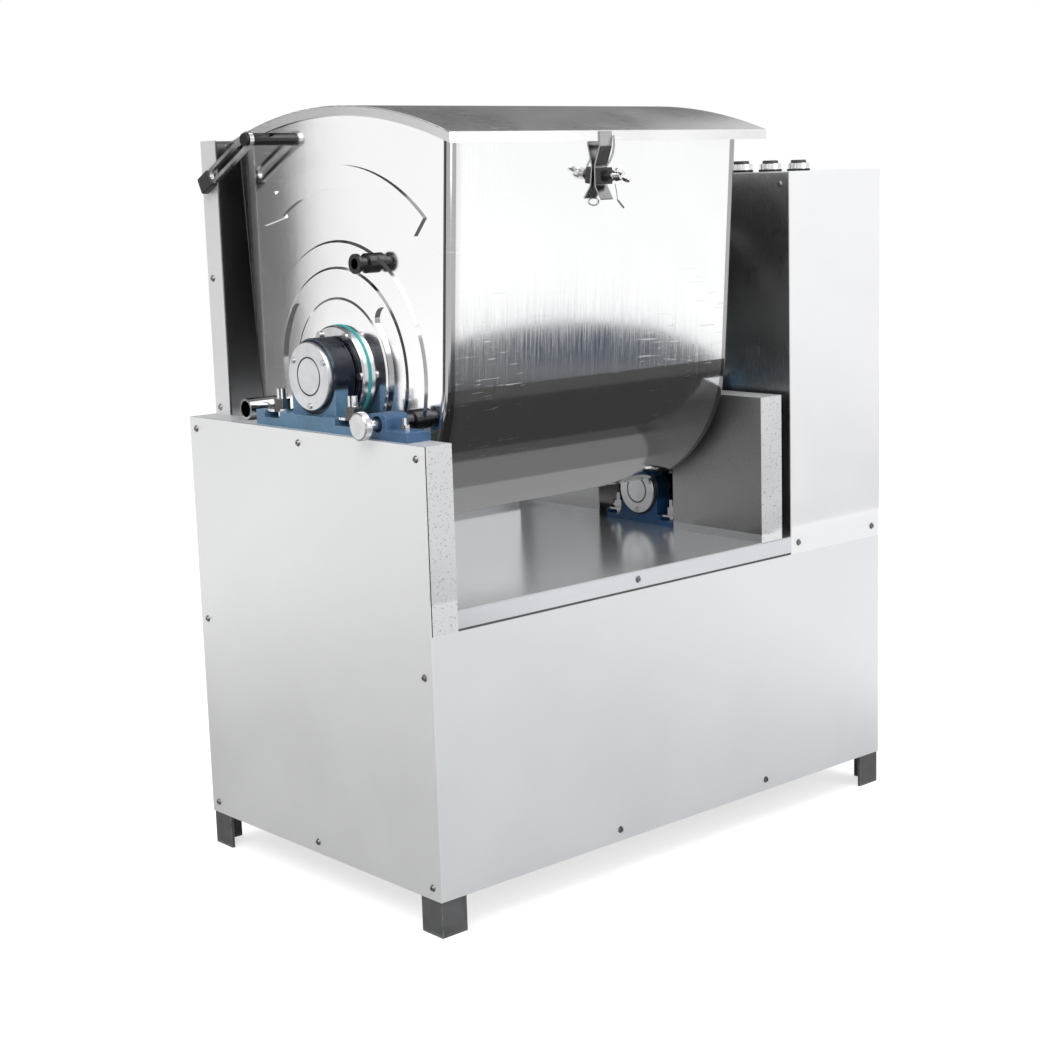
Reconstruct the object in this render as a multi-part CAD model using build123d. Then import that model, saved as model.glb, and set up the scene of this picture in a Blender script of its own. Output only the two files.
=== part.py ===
from build123d import *
from math import acos, asin, cos, degrees, pi, radians, sin, tan
import os

# A tilting horizontal dough mixer, in millimetres. While it is built, x runs right from the
# base's left side, y runs back from its front, and z runs up from the floor. At the end
# everything moves so that the origin is on the floor under the middle of the machine.

# Sheet-metal base, drive column and rear guard
BASE_WIDTH = 820
BASE_DEPTH = 490
FOOT_HEIGHT = 45
DECK_HEIGHT = 390
PEDESTAL_HEIGHT = 585
COLUMN_WIDTH = 190
COLUMN_HEIGHT = 878
PEDESTAL_GAP = 19
FRONT_SHEET_TOP = 365
SHEET = 1.5
DECK_SHEET = 1.5
LIP_DROP = 22
GUARD_TOP = 939
GUARD_FLANGE = 34
GUARD_SCREWS = (9, 178)
LOUVRE_PITCH = 22
LOUVRE_WIDTH = 80
LOUVRE_EDGE = 45
LOUVRE_RISE = 60
WINDOW_WIDTH = 150
WINDOW_HEIGHT = 170
SCREW_HEAD = 4.5
SCREW_DOME = 2.4
SCREW_SHANK = 2.25
SCREW_INSET = 15

# Angle-iron frame and the plates that carry the drive
LEG = 38
LEG_WALL = 4
BEAM = 10
BENCH = 6
MOTOR_PLATE = 8
PULLEY_ROOM = 8
SLOT_ROOM = 4
GUARD_POST = 20

# Main shaft and bowl; heights and depths of the bowl are measured from the shaft's axis
AXIS_Y = 238
AXIS_Z = 650
SHAFT_RADIUS = 20
BOWL_LEFT = 71
BOWL_ROOM = 334
BOWL_RADIUS = 194
BOWL_TOP = 276
BOWL_SHEET = 2.5
WALL_LEAN = 3.9
PAN_DEPTH = 14
PAN_CORNER = 8
TILT_LOCK = 82

# Pressed rings, kidney recesses and arrow in the bowl's end plates
RING_RADII = (162, 130, 93)
RING_RISES = (3, 5, 6)
RING_SLOPE = 3
KIDNEY_RADIUS = 110
KIDNEY_WIDTH = 31
KIDNEY_DEPTH = 4
KIDNEY_SPREAD = 76
ARROW_RADIUS = 238
ARROW_WIDTH = 28
ARROW_HEAD = 38
ARROW_RISE = 3
ARROW_FROM = 48
ARROW_TO = 121
ARROW_TIP = 131

# Lid, measured from the main shaft's axis
LID_FRONT = 222
LID_REAR = 234
LID_EDGE = 283
LID_APEX = 322
LID_SHEET = 1.5
LID_FLANGE = 12
LID_REAR_FLANGE = 6
LID_OVERHANG = 46
LID_GAP = 2.0
LID_SIDE_GAP = 2.0
LID_FOLD = 1.2

# Main pillow blocks
HOUSING_RADIUS = 46
HOUSING_LENGTH = 32
FOOT_HALF = 112
FOOT_DEPTH = 31
FOOT_THICK = 18
BOLT_PITCH = 148
BOLT_RADIUS = 6
NUT_WIDE = 1.9
NUT_TALL = 2.0
STUD_ABOVE = 4.6
STUD_BELOW = 2.6
WASHER_WIDE = 3.0
WASHER_THICK = 0.5
CAP_RADIUS = 42
CAP_THICK = 6
BEARING_RADIUS = 40
BEARING_WIDTH = 18

# Pinion pillow blocks
PINION_SHAFT_RADIUS = 15
SMALL_RADIUS = 36
SMALL_LENGTH = 26
SMALL_FOOT_HALF = 70
SMALL_FOOT_DEPTH = 26
SMALL_FOOT_THICK = 14
SMALL_BOLT_PITCH = 106
SMALL_BOLT_RADIUS = 5
SMALL_CAP_RADIUS = 33
SMALL_CAP_THICK = 5
SEAL_RADIUS = 28
RECESS_FLOOR = 0.55
CAST_ROUND = 4
CAST_EDGE = 2
CAP_GROOVE = 0.55
CAP_SPIGOT = 6
CAP_SCREWS = 0.86
CAP_SCREW_HEAD = 3.5
CAP_SCREW_RISE = 2
SMALL_BEARING_RADIUS = 31
SMALL_BEARING_WIDTH = 16
RACE_SHARE = 0.3
FOOT_SHIFT = -2
WEB_HALF = 44
SMALL_WEB_HALF = 34
RECESS_HALF = 16.5
SMALL_RECESS_HALF = 13

# Hubs of the bowl
HUB_FLANGE_RADIUS = 59
HUB_FLANGE = 8
GASKET = 2
HUB_BARREL = 32
HUB_LENGTH = 24
BARREL_GAP = 1.5
HUB_SCREW_HEAD = 3.5
HUB_SKIN = 2

# Mixing arms
ARM_RADIUS = 168
ARM_BAR = 11
ARM_TWIST = 20
ARM_HUB = 34
ARM_HUB_LENGTH = 26
ARM_INSET = 34

# Gears, belts and motor
MODULE = 4
GEAR_TEETH = 86
PINION_TEETH = 20
PRESSURE_ANGLE = 20
TOOTH_THINNING = 0.35
GEAR_FACE = 36
GEAR_INSET = 20
GEAR_HUB = 40
HUB_STANDS = 4
RIM_INSIDE = 150
WEB_THICK = 12
GEAR_WINDOW = 24
PULLEY_RADIUS = 100
MOTOR_PULLEY_RADIUS = 40
PULLEY_WIDTH = 40
PULLEY_INSET = 18
BELT_WIDTH = 11
BELT_DEPTH = 8
BELT_PITCH = 18
BELT_SLOPE = 18
MOTOR_RADIUS = 80
MOTOR_LENGTH = 230
MOTOR_HEIGHT = 90
MOTOR_SHAFT_RADIUS = 12
MOTOR_NOSE = 22
FIN_DEPTH = 9
FINS = 24
COWL = 48
SHIELD = 24
TERMINAL_RISE = 26

# Lock block with its pin, the sockets on the bowl and the stop tube
LOCK_Y = 95
LOCK_LEFT = 8
LOCK_RISE = 18
LOCK_HALF = 17
LOCK_TALL = 30
LOCK_FLANGE = 40
LOCK_BOLT = 14
LOCK_FLANGE_THICK = 12
LOCK_ROUND = 6
PIN_STANDS = 0.5
PIN_RADIUS = 6
PIN_TRAVEL = 18
KNOB_RADIUS = 16.5
KNOB_THICK = 10
NECK_RADIUS = 9
NECK_LENGTH = 6
SOCKET_RADIUS = 12
SOCKET_GAP = 2
STOP_Y = 155
STOP_RADIUS = 13.5
STOP_WALL = 3
STOP_LEFT = 24
STOP_SOLID = 8

# Handle at the rear corner, measured from the main shaft's axis
HANDLE_Y = 131
HANDLE_Z = 287
HANDLE_ANGLE = -27
HANDLE_LINK = 92
HANDLE_LENGTH = 124
HANDLE_LEFT = 31
HANDLE_THICK = 6
LOOP_RADIUS = 10
PIVOT_RADIUS = 5
PIVOT_RIM = 3
PIVOT_HEAD = 4
GRIP_HALF = 11
GRIP_THICK = 12

# Lid clamp with its wing screw
CLAMP_SHIFT = 4
CLAMP_Z = 229
STRAP_WIDTH = 20
STRAP_THICK = 2
STRAP_BEND = 7
STRAP_FLAT = 12
STRAP_TAIL = 28
STRAP_GAP = 2.4
TIP_STANDS = 0.8
CLAMP_BLOCK = 9
CLAMP_HALF = 10
SCREW_RADIUS = 4
NUT_THICK = 8
NUT_RADIUS = 7.5
WING_SPAN = 13
WING_BACK = 9
WING_HUB = 10

# Lid hinges, measured from the main shaft's axis
HINGE_INSET = 79
HINGE_WIDTH = 66
HINGE_LEAF = 2
HINGE_SEAT = 0.1
HINGE_Y = 221
HINGE_Z = 277
HINGE_DROP = 30
HINGE_WIRE = 3
KNUCKLE = 6
KNUCKLE_GAP = 1

# Push buttons
BUTTON_Y = 115
BUTTON_PITCH = 60
COLLAR_RADIUS = 15
COLLAR_HEIGHT = 11
BUTTON_RADIUS = 11
BUTTON_STANDS = 4.5
BUTTON_TRAVEL = 4
SWITCH_BARREL = 13
SWITCH_DEPTH = 46

# Cable gland in the rear sheet
GLAND_INSET = 75
GLAND_Z = 110
GLAND_RADIUS = 10
GLAND_BORE = 5

# Clearances
RUNNING = 0.05
CLEAR = 0.3
BELT_CLEAR = 0.4

# Sizes worked out from the ones above
COLUMN_LEFT = BASE_WIDTH - COLUMN_WIDTH
PEDESTAL_WIDTH = LEG + 2 * SHEET
RIGHT_PEDESTAL_END = COLUMN_LEFT - PEDESTAL_GAP
RIGHT_PEDESTAL = RIGHT_PEDESTAL_END - PEDESTAL_WIDTH
BACK = BASE_DEPTH - SHEET
RIGHT = BASE_WIDTH - SHEET
COLUMN_UNDER = COLUMN_HEIGHT - SHEET
PEDESTAL_UNDER = PEDESTAL_HEIGHT - SHEET
BEAM_UNDER = PEDESTAL_UNDER - BEAM
DECK_UNDER = DECK_HEIGHT - DECK_SHEET
BENCH_UNDER = DECK_UNDER - BENCH
BEARER = LEG - LEG_WALL - BENCH
RAIL_FRONT = SHEET + LEG_WALL
RAIL_BACK = BACK - LEG_WALL
FRAME_LEFT = SHEET + LEG
FRAME_RIGHT = RIGHT - LEG
SEAT = PEDESTAL_HEIGHT - AXIS_Z
CENTRE_DISTANCE = MODULE * (GEAR_TEETH + PINION_TEETH) / 2
PINION_Z = AXIS_Z - CENTRE_DISTANCE
BOWL_LENGTH = BASE_WIDTH - BOWL_ROOM
BOWL_RIGHT = BOWL_LEFT + BOWL_LENGTH
BOWL_MIDDLE = BOWL_LEFT + BOWL_LENGTH / 2
HUB_FACE = BOWL_LEFT - RING_RISES[-1]
FLANGE_LEFT = HUB_FACE - GASKET - HUB_FLANGE
BARREL_RIGHT = FLANGE_LEFT - BARREL_GAP
BARREL_LEFT = BARREL_RIGHT - HOUSING_LENGTH
LID_MIDDLE = (LID_REAR - LID_FRONT) / 2
LID_HALF = (LID_REAR + LID_FRONT) / 2
LID_SAG = LID_APEX - LID_EDGE
LID_RADIUS = (LID_HALF ** 2 + LID_SAG ** 2) / (2 * LID_SAG)
LID_CENTRE = LID_APEX - LID_RADIUS
LID_LEFT = BOWL_LEFT - LID_SIDE_GAP - LID_SHEET
LID_RIGHT = BOWL_RIGHT + LID_OVERHANG
GEAR_LEFT = COLUMN_LEFT + GEAR_INSET
GEAR_RIGHT = GEAR_LEFT + GEAR_FACE
PULLEY_LEFT = GEAR_RIGHT + PULLEY_INSET
PULLEY_RIGHT = PULLEY_LEFT + PULLEY_WIDTH
SMALL_LEFT = RIGHT_PEDESTAL + 2 * SHEET + SMALL_CAP_THICK
SMALL_RIGHT = PULLEY_RIGHT + 2 * SMALL_CAP_THICK
SMALL_END = SMALL_RIGHT + SMALL_LENGTH
RIGHT_END = 2 * BOWL_MIDDLE - BARREL_LEFT
LEFT_BOLT_X = PEDESTAL_WIDTH - FOOT_DEPTH / 2
RIGHT_BOLT_X = RIGHT_END - FOOT_SHIFT - FOOT_DEPTH / 2
SMALL_BOLT_XS = [SMALL_LEFT + SMALL_FOOT_DEPTH / 2, SMALL_END - SMALL_FOOT_DEPTH / 2]
MOTOR_PLATE_UNDER = FOOT_HEIGHT + LEG
MOTOR_Z = MOTOR_PLATE_UNDER + MOTOR_PLATE + MOTOR_HEIGHT
MOTOR_RIGHT = PULLEY_LEFT - MOTOR_NOSE
MOTOR_LEFT = MOTOR_RIGHT - MOTOR_LENGTH
LOCK_Z = PEDESTAL_HEIGHT + LOCK_RISE
LOCK_RIGHT = PEDESTAL_WIDTH
STOP_Z = SEAT + STOP_RADIUS + CLEAR
LEAN = radians(WALL_LEAN)
GLAND_X = BASE_WIDTH - GLAND_INSET
BUTTON_XS = [COLUMN_LEFT + COLUMN_WIDTH / 2 + step * BUTTON_PITCH for step in (-1, 0, 1)]
HINGE_XS = (BOWL_LEFT + HINGE_INSET, BOWL_RIGHT - HINGE_INSET)
CLAMP_X = BOWL_MIDDLE - CLAMP_SHIFT

parts = {}


def box(x0, x1, y0, y1, z0, z1):
    """A block between two corners."""
    middle = Pos((x0 + x1) / 2, (y0 + y1) / 2, (z0 + z1) / 2)
    return middle * Box(x1 - x0, y1 - y0, z1 - z0)


def rod_x(y, z, radius, x0, x1):
    """A round bar along x."""
    return Pos((x0 + x1) / 2, y, z) * Rot(0, 90, 0) * Cylinder(radius, x1 - x0)


def rod_y(x, z, radius, y0, y1):
    """A round bar along y."""
    return Pos(x, (y0 + y1) / 2, z) * Rot(90, 0, 0) * Cylinder(radius, y1 - y0)


def rod_z(x, y, radius, z0, z1):
    """A round bar along z."""
    return Pos(x, y, (z0 + z1) / 2) * Cylinder(radius, z1 - z0)


def slab_x(sketch, x0, x1):
    """An outline drawn as (y, z), given thickness from x0 to x1."""
    return Pos(x0, 0, 0) * extrude(Plane.YZ * sketch, amount=x1 - x0, dir=(1, 0, 0))


def slab_y(sketch, y0, y1):
    """An outline drawn as (x, z), given thickness from y0 to y1."""
    return Pos(0, y0, 0) * extrude(Plane.XZ * sketch, amount=y1 - y0, dir=(0, 1, 0))


def slab_z(sketch, z0, z1):
    """An outline drawn as (x, y), given thickness from z0 to z1."""
    return Pos(0, 0, z0) * extrude(sketch, amount=z1 - z0, dir=(0, 0, 1))


def turned_x(points):
    """A piece turned about the x axis, from its outline as (x, radius)."""
    return revolve(make_face(Polyline(*points, close=True)), Axis.X)


def strip_x(points, thickness, bend, x0, x1):
    """A folded strip: its centre line drawn as (y, z), with rounded bends, from x0 to x1."""
    return slab_x(trace(FilletPolyline(*points, radius=bend), thickness), x0, x1)


def on_axis(shape):
    """Move a shape drawn about the main shaft to where the shaft is."""
    return Pos(0, AXIS_Y, AXIS_Z) * shape


def group(shapes):
    """Several separate solids that share one node."""
    return Compound(children=[solid for shape in shapes for solid in shape.solids()])


def mirrored(shape):
    """The right-hand copy of a shape at the bowl's left end."""
    return mirror(shape, about=Plane.YZ.offset(BOWL_MIDDLE))


# Angle-iron frame

def angle_outline(a, b, a_way, b_way, width):
    """The L section of an angle iron: its outer corner, and the way each flange points."""
    steps = ((0, 0), (width, 0), (width, LEG_WALL), (LEG_WALL, LEG_WALL), (LEG_WALL, width),
             (0, width))
    return make_face(Polyline(*[(a + a_way * p, b + b_way * q) for p, q in steps], close=True))


def legs_and_posts():
    """Corner legs, whose lower ends are the feet, and the posts that stand on the base."""
    posts = []
    for x, x_way, top in ((SHEET, 1, BEAM_UNDER), (RIGHT, -1, COLUMN_UNDER)):
        for y, y_way in ((SHEET, 1), (BACK, -1)):
            posts.append(slab_z(angle_outline(x, y, x_way, y_way, LEG), 0, top))
    for x, bottom, top in ((RIGHT_PEDESTAL + SHEET, DECK_HEIGHT, BEAM_UNDER),
                           (COLUMN_LEFT + SHEET, DECK_UNDER, COLUMN_UNDER)):
        for y, y_way in ((SHEET, 1), (BACK, -1)):
            posts.append(slab_z(angle_outline(x, y, 1, y_way, LEG), bottom, top))
    guard = angle_outline(PEDESTAL_WIDTH + SHEET, BACK, 1, -1, GUARD_POST)
    posts.append(slab_z(guard, DECK_HEIGHT, GUARD_TOP - SHEET))
    return posts


def rails():
    """Rails between the legs, and the bearers for the motor plate and the bench."""
    pieces = []
    for z in (FOOT_HEIGHT, DECK_UNDER - LEG):
        for y, y_way in ((SHEET, 1), (BACK, -1)):
            pieces.append(slab_x(angle_outline(y, z, y_way, 1, LEG), FRAME_LEFT, FRAME_RIGHT))
        for x, x_way in ((SHEET, 1), (RIGHT, -1)):
            rail = angle_outline(x, z, x_way, 1, LEG)
            pieces.append(slab_y(rail, SHEET + LEG, BACK - LEG))
    for x in (MOTOR_LEFT + LEG, MOTOR_RIGHT - LEG):
        bearer = angle_outline(x, MOTOR_PLATE_UNDER, -1, -1, LEG - LEG_WALL)
        pieces.append(slab_y(bearer, RAIL_FRONT, RAIL_BACK))
    for bolt_x in SMALL_BOLT_XS:
        bearer = angle_outline(bolt_x - (BEARER + LEG_WALL) / 2, BENCH_UNDER, 1, -1, BEARER)
        pieces.append(slab_y(bearer, RAIL_FRONT, RAIL_BACK))
    return pieces


def bearing_beams():
    """Flat bars across the tops of the posts, under the main pillow blocks."""
    lefts = (SHEET, RIGHT_PEDESTAL + SHEET)
    return [box(x, x + LEG, SHEET, BACK, BEAM_UNDER, PEDESTAL_UNDER) for x in lefts]


def bolt_drills():
    """Clearance holes for the foot bolts of all four pillow blocks."""
    drills = []
    for side in (-1, 1):
        for x in (LEFT_BOLT_X, RIGHT_BOLT_X):
            y = AXIS_Y + side * BOLT_PITCH / 2
            drills.append(rod_z(x, y, BOLT_RADIUS + CLEAR, BEAM_UNDER - 1, AXIS_Z))
        for x in SMALL_BOLT_XS:
            y = AXIS_Y + side * SMALL_BOLT_PITCH / 2
            drills.append(rod_z(x, y, SMALL_BOLT_RADIUS + CLEAR, BENCH_UNDER - BEARER / 2, PINION_Z))
    return drills


drills = bolt_drills()
frame = legs_and_posts() + rails() + bearing_beams()
parts["base_frame"] = group([piece - drills for piece in frame])

# Bench plate that carries the pinion shaft, with a slot for the large pulley and its belts
bench_plate = box(RIGHT_PEDESTAL, FRAME_RIGHT, RAIL_FRONT, RAIL_BACK, BENCH_UNDER, DECK_UNDER)
slot_half = PULLEY_RADIUS + PULLEY_ROOM
bench_plate = bench_plate - box(PULLEY_LEFT - SLOT_ROOM, PULLEY_RIGHT + SLOT_ROOM, AXIS_Y - slot_half,
                                AXIS_Y + slot_half, BENCH_UNDER - 1, DECK_UNDER + 1)
parts["bench_plate"] = bench_plate - drills


# Outer sheets

def screw_holes(sheet, spots, axis):
    """Drill a sheet at its screws, which lie at (a, b) in the sheet's plane."""
    for a, b in spots:
        if axis == "x":
            sheet = sheet - rod_x(a, b, SCREW_SHANK, -1, BASE_WIDTH + 1)
        else:
            sheet = sheet - rod_y(a, b, SCREW_SHANK, -1, BASE_DEPTH + 1)
    return sheet


def edge_spots(a0, a1, b0, b1):
    """Eight screws round a sheet: the corners and the middles of its sides."""
    a_spots = (a0 + SCREW_INSET, (a0 + a1) / 2, a1 - SCREW_INSET)
    b_spots = (b0 + SCREW_INSET, (b0 + b1) / 2, b1 - SCREW_INSET)
    centre = (a_spots[1], b_spots[1])
    return [(a, b) for a in a_spots for b in b_spots if (a, b) != centre]


LEFT_SPOTS = edge_spots(0, BASE_DEPTH, FOOT_HEIGHT, PEDESTAL_HEIGHT)
RIGHT_SPOTS = edge_spots(0, BASE_DEPTH, FOOT_HEIGHT, COLUMN_UNDER)
FRONT_SPOTS = [(BASE_WIDTH * share, FOOT_HEIGHT + SCREW_INSET) for share in (0.36, 0.7)]
COLUMN_SPOTS = [(COLUMN_LEFT + SCREW_INSET, FRONT_SHEET_TOP + SCREW_INSET),
                (BASE_WIDTH - SCREW_INSET - SHEET, FRONT_SHEET_TOP + SCREW_INSET)]
BACK_SPOTS = [(x, z) for x in (FRAME_LEFT - SCREW_INSET, FRAME_RIGHT + SCREW_INSET)
              for z in (FOOT_HEIGHT + SCREW_INSET, DECK_UNDER - SCREW_INSET)]
COLUMN_BACK_SPOTS = [(x, z) for x in (COLUMN_LEFT + SCREW_INSET, FRAME_RIGHT + SCREW_INSET)
                     for z in (DECK_HEIGHT + SCREW_INSET, COLUMN_UNDER - SCREW_INSET)]
GUARD_SPOTS = [(BACK - GUARD_POST / 2, PEDESTAL_HEIGHT + rise) for rise in GUARD_SCREWS]
WALL_SPOT = (SCREW_INSET + SHEET, COLUMN_UNDER - SCREW_INSET)
LIP_SPOT = ((PEDESTAL_WIDTH + COLUMN_LEFT) / 2, DECK_HEIGHT - LIP_DROP / 2)

left_sheet = box(0, SHEET, 0, BASE_DEPTH, FOOT_HEIGHT, PEDESTAL_HEIGHT)
parts["left_end_panel"] = screw_holes(left_sheet, LEFT_SPOTS, "x")

right_sheet = box(RIGHT, BASE_WIDTH, 0, BASE_DEPTH, FOOT_HEIGHT, COLUMN_UNDER)
parts["right_end_panel"] = screw_holes(right_sheet, RIGHT_SPOTS, "x")

front_sheet = box(SHEET, RIGHT, 0, SHEET, FOOT_HEIGHT, FRONT_SHEET_TOP)
parts["front_panel"] = screw_holes(front_sheet, FRONT_SPOTS, "y")


def louvres(x0, x1, z0, rows):
    """Rows of round-ended ventilation slots through a rear sheet."""
    slots = []
    for row in range(rows):
        outline = Pos((x0 + x1) / 2, z0 + row * LOUVRE_PITCH) * SlotOverall(x1 - x0, LOUVRE_PITCH / 2.5)
        slots.append(slab_y(outline, BACK - 1, BASE_DEPTH + 1))
    return slots


back_sheet = box(SHEET, RIGHT, BACK, BASE_DEPTH, FOOT_HEIGHT, DECK_UNDER)
back_sheet = screw_holes(back_sheet, BACK_SPOTS, "y")
louvre_left = MOTOR_LEFT - LOUVRE_WIDTH / 2
for left in (louvre_left, louvre_left + 1.25 * LOUVRE_WIDTH):
    for slot in louvres(left, left + LOUVRE_WIDTH, MOTOR_Z - LOUVRE_RISE, 6):
        back_sheet = back_sheet - slot
parts["back_panel"] = back_sheet - rod_y(GLAND_X, GLAND_Z, GLAND_RADIUS, BACK - 1, BASE_DEPTH + 1)

# Deck sheet with its folded front lip
half_sheet = DECK_SHEET / 2
deck_middle = DECK_HEIGHT - half_sheet
deck_fold = half_sheet * 1.05
deck = strip_x(((half_sheet, DECK_HEIGHT - LIP_DROP), (half_sheet, deck_middle), (BACK, deck_middle)),
               DECK_SHEET, deck_fold, PEDESTAL_WIDTH, COLUMN_LEFT)
deck = deck - rod_y(LIP_SPOT[0], LIP_SPOT[1], SCREW_SHANK, -3, 5)
parts["deck_sheet"] = deck - drills

# Left pedestal: an open-bottomed hood over the left bearing beam
hood = box(2 * SHEET, PEDESTAL_WIDTH, 0, BASE_DEPTH, FRONT_SHEET_TOP, PEDESTAL_HEIGHT)
hood = hood - box(0, PEDESTAL_WIDTH - SHEET, SHEET, BACK, 0, PEDESTAL_UNDER)
hood = hood - box(0, BASE_WIDTH, SHEET, BASE_DEPTH, 0, DECK_UNDER)
parts["left_pedestal"] = hood - drills

# Right pedestal: a hood on the deck, with a window for the pinion shaft's bearing
hood = box(RIGHT_PEDESTAL, RIGHT_PEDESTAL_END, 0, BASE_DEPTH, DECK_HEIGHT, PEDESTAL_HEIGHT)
hood = hood - box(RIGHT_PEDESTAL + SHEET, RIGHT_PEDESTAL_END - SHEET, SHEET, BACK,
                  0, PEDESTAL_UNDER)
window_half = WINDOW_WIDTH / 2
hood = hood - box(RIGHT_PEDESTAL - 1, RIGHT_PEDESTAL_END + 1, AXIS_Y - window_half,
                  AXIS_Y + window_half, DECK_HEIGHT - 1, DECK_HEIGHT + WINDOW_HEIGHT)
parts["right_pedestal"] = hood - drills

# Drive column sheets
wall = box(COLUMN_LEFT, COLUMN_LEFT + SHEET, 0, BASE_DEPTH, DECK_UNDER, COLUMN_UNDER)
wall = wall - rod_x(AXIS_Y, AXIS_Z, SHAFT_RADIUS + 12, 0, BASE_WIDTH)
wall = wall - rod_x(AXIS_Y, PINION_Z, PINION_SHAFT_RADIUS + 10, 0, BASE_WIDTH)
wall = wall - rod_x(WALL_SPOT[0], WALL_SPOT[1], SCREW_SHANK, 0, BASE_WIDTH)
wall = wall - box(0, BASE_WIDTH, -1, SHEET, 0, COLUMN_HEIGHT)
wall = wall - box(0, BASE_WIDTH, BACK, BASE_DEPTH + 1, 0, COLUMN_HEIGHT)
parts["column_left_wall"] = wall

column_front = box(COLUMN_LEFT, RIGHT, 0, SHEET, FRONT_SHEET_TOP, COLUMN_UNDER)
parts["column_front_panel"] = screw_holes(column_front, COLUMN_SPOTS, "y")

column_back = box(COLUMN_LEFT, RIGHT, BACK, BASE_DEPTH, DECK_UNDER, COLUMN_UNDER)
column_back = screw_holes(column_back, COLUMN_BACK_SPOTS, "y")
for slot in louvres(COLUMN_LEFT + LOUVRE_EDGE, RIGHT - LOUVRE_EDGE, AXIS_Z + LOUVRE_RISE, 5):
    column_back = column_back - slot
parts["column_back_panel"] = column_back

column_top = box(COLUMN_LEFT, BASE_WIDTH, 0, BASE_DEPTH, COLUMN_UNDER, COLUMN_HEIGHT)
for x in BUTTON_XS:
    column_top = column_top - rod_z(x, BUTTON_Y, SWITCH_BARREL, 0, COLUMN_HEIGHT + 1)
parts["column_top_panel"] = column_top

# Rear guard: a folded sheet that stands on the deck behind the bowl
guard = box(PEDESTAL_WIDTH, COLUMN_LEFT, BACK, BASE_DEPTH, PEDESTAL_HEIGHT, GUARD_TOP)
guard = guard + box(PEDESTAL_WIDTH, RIGHT_PEDESTAL, BACK, BASE_DEPTH, DECK_HEIGHT, PEDESTAL_HEIGHT)
guard = guard + box(PEDESTAL_WIDTH, PEDESTAL_WIDTH + SHEET, BASE_DEPTH - GUARD_FLANGE, BASE_DEPTH,
                    PEDESTAL_HEIGHT, GUARD_TOP)
guard = guard + box(PEDESTAL_WIDTH, COLUMN_LEFT, BASE_DEPTH - GUARD_POST / 2, BASE_DEPTH,
                    GUARD_TOP - SHEET, GUARD_TOP)
for y, z in GUARD_SPOTS:
    guard = guard - rod_x(y, z, SCREW_SHANK, 0, PEDESTAL_WIDTH + SHEET + 1)
parts["rear_guard"] = guard


# Bowl

def trough(radius, top):
    """The bowl's closed outline: a round bottom and walls that lean outwards to a flat top."""
    foot_y = radius * cos(LEAN)
    foot_z = -radius * sin(LEAN)
    top_y = foot_y + (top - foot_z) * tan(LEAN)
    walls = Polyline((-foot_y, foot_z), (-top_y, top), (top_y, top), (foot_y, foot_z))
    bottom = ThreePointArc((foot_y, foot_z), (0, -radius), (-foot_y, foot_z))
    return make_face(walls.edges() + bottom.edges())


def arch_disc(drop):
    """The disc whose rim follows the lid's arch, lowered by drop."""
    return Pos(LID_MIDDLE, LID_CENTRE) * Circle(LID_RADIUS - drop)


def plate_outline(inset):
    """An end plate's outline under the lid's arch, taken in by inset all round."""
    return trough(BOWL_RADIUS - inset, LID_APEX) & arch_disc(LID_SHEET + LID_GAP + inset)


def spread_arc(radius, start, end):
    """An arc about the shaft; angles run from the front up and over to the rear."""
    return CenterArc((0, 0), radius, 180 - start, start - end)


def at_angle(radius, angle):
    """A point about the shaft, by the same angles."""
    return (-radius * cos(radians(angle)), radius * sin(radians(angle)))


def kidney(angle, grow):
    """A round-ended recess bent about the shaft, centred at an angle."""
    half = KIDNEY_SPREAD / 2
    arc = spread_arc(KIDNEY_RADIUS, angle - half, angle + half)
    return SlotArc(arc, KIDNEY_WIDTH + 2 * grow)


def arrow(grow):
    """The curved arrow pressed into the plate above the rings."""
    inner = ARROW_RADIUS - ARROW_WIDTH / 2 - grow
    outer = ARROW_RADIUS + ARROW_WIDTH / 2 + grow
    back = degrees(grow / ARROW_RADIUS)
    first = spread_arc(inner, ARROW_FROM - back, ARROW_TO)
    second = spread_arc(outer, ARROW_TO, ARROW_FROM - back)
    neck = Line(first @ 1, second @ 0)
    tail = Line(second @ 1, first @ 0)
    band = make_face(first.edges() + neck.edges() + second.edges() + tail.edges())
    barb = ARROW_HEAD / 2 + 1.6 * grow
    tip = ARROW_TIP + 2.3 * back
    base = ARROW_TO - 1 - back
    head = Polyline(at_angle(ARROW_RADIUS - barb, base), at_angle(ARROW_RADIUS, tip),
                    at_angle(ARROW_RADIUS + barb, base), close=True)
    return band + make_face(head)


def pressed_rings():
    """The raised rings about the shaft hole, turned from one stepped sheet section."""
    outside = [(BOWL_LEFT, RING_RADII[0])]
    for radius, rise in zip(RING_RADII, RING_RISES):
        lower = outside[-1][0]
        if radius != RING_RADII[0]:
            outside.append((lower, radius))
        outside.append((BOWL_LEFT - rise, radius - RING_SLOPE))
    outside.append((HUB_FACE, HUB_BARREL))
    inside = [(x + BOWL_SHEET, radius) for x, radius in reversed(outside)]
    return turned_x(outside + inside)


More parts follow.
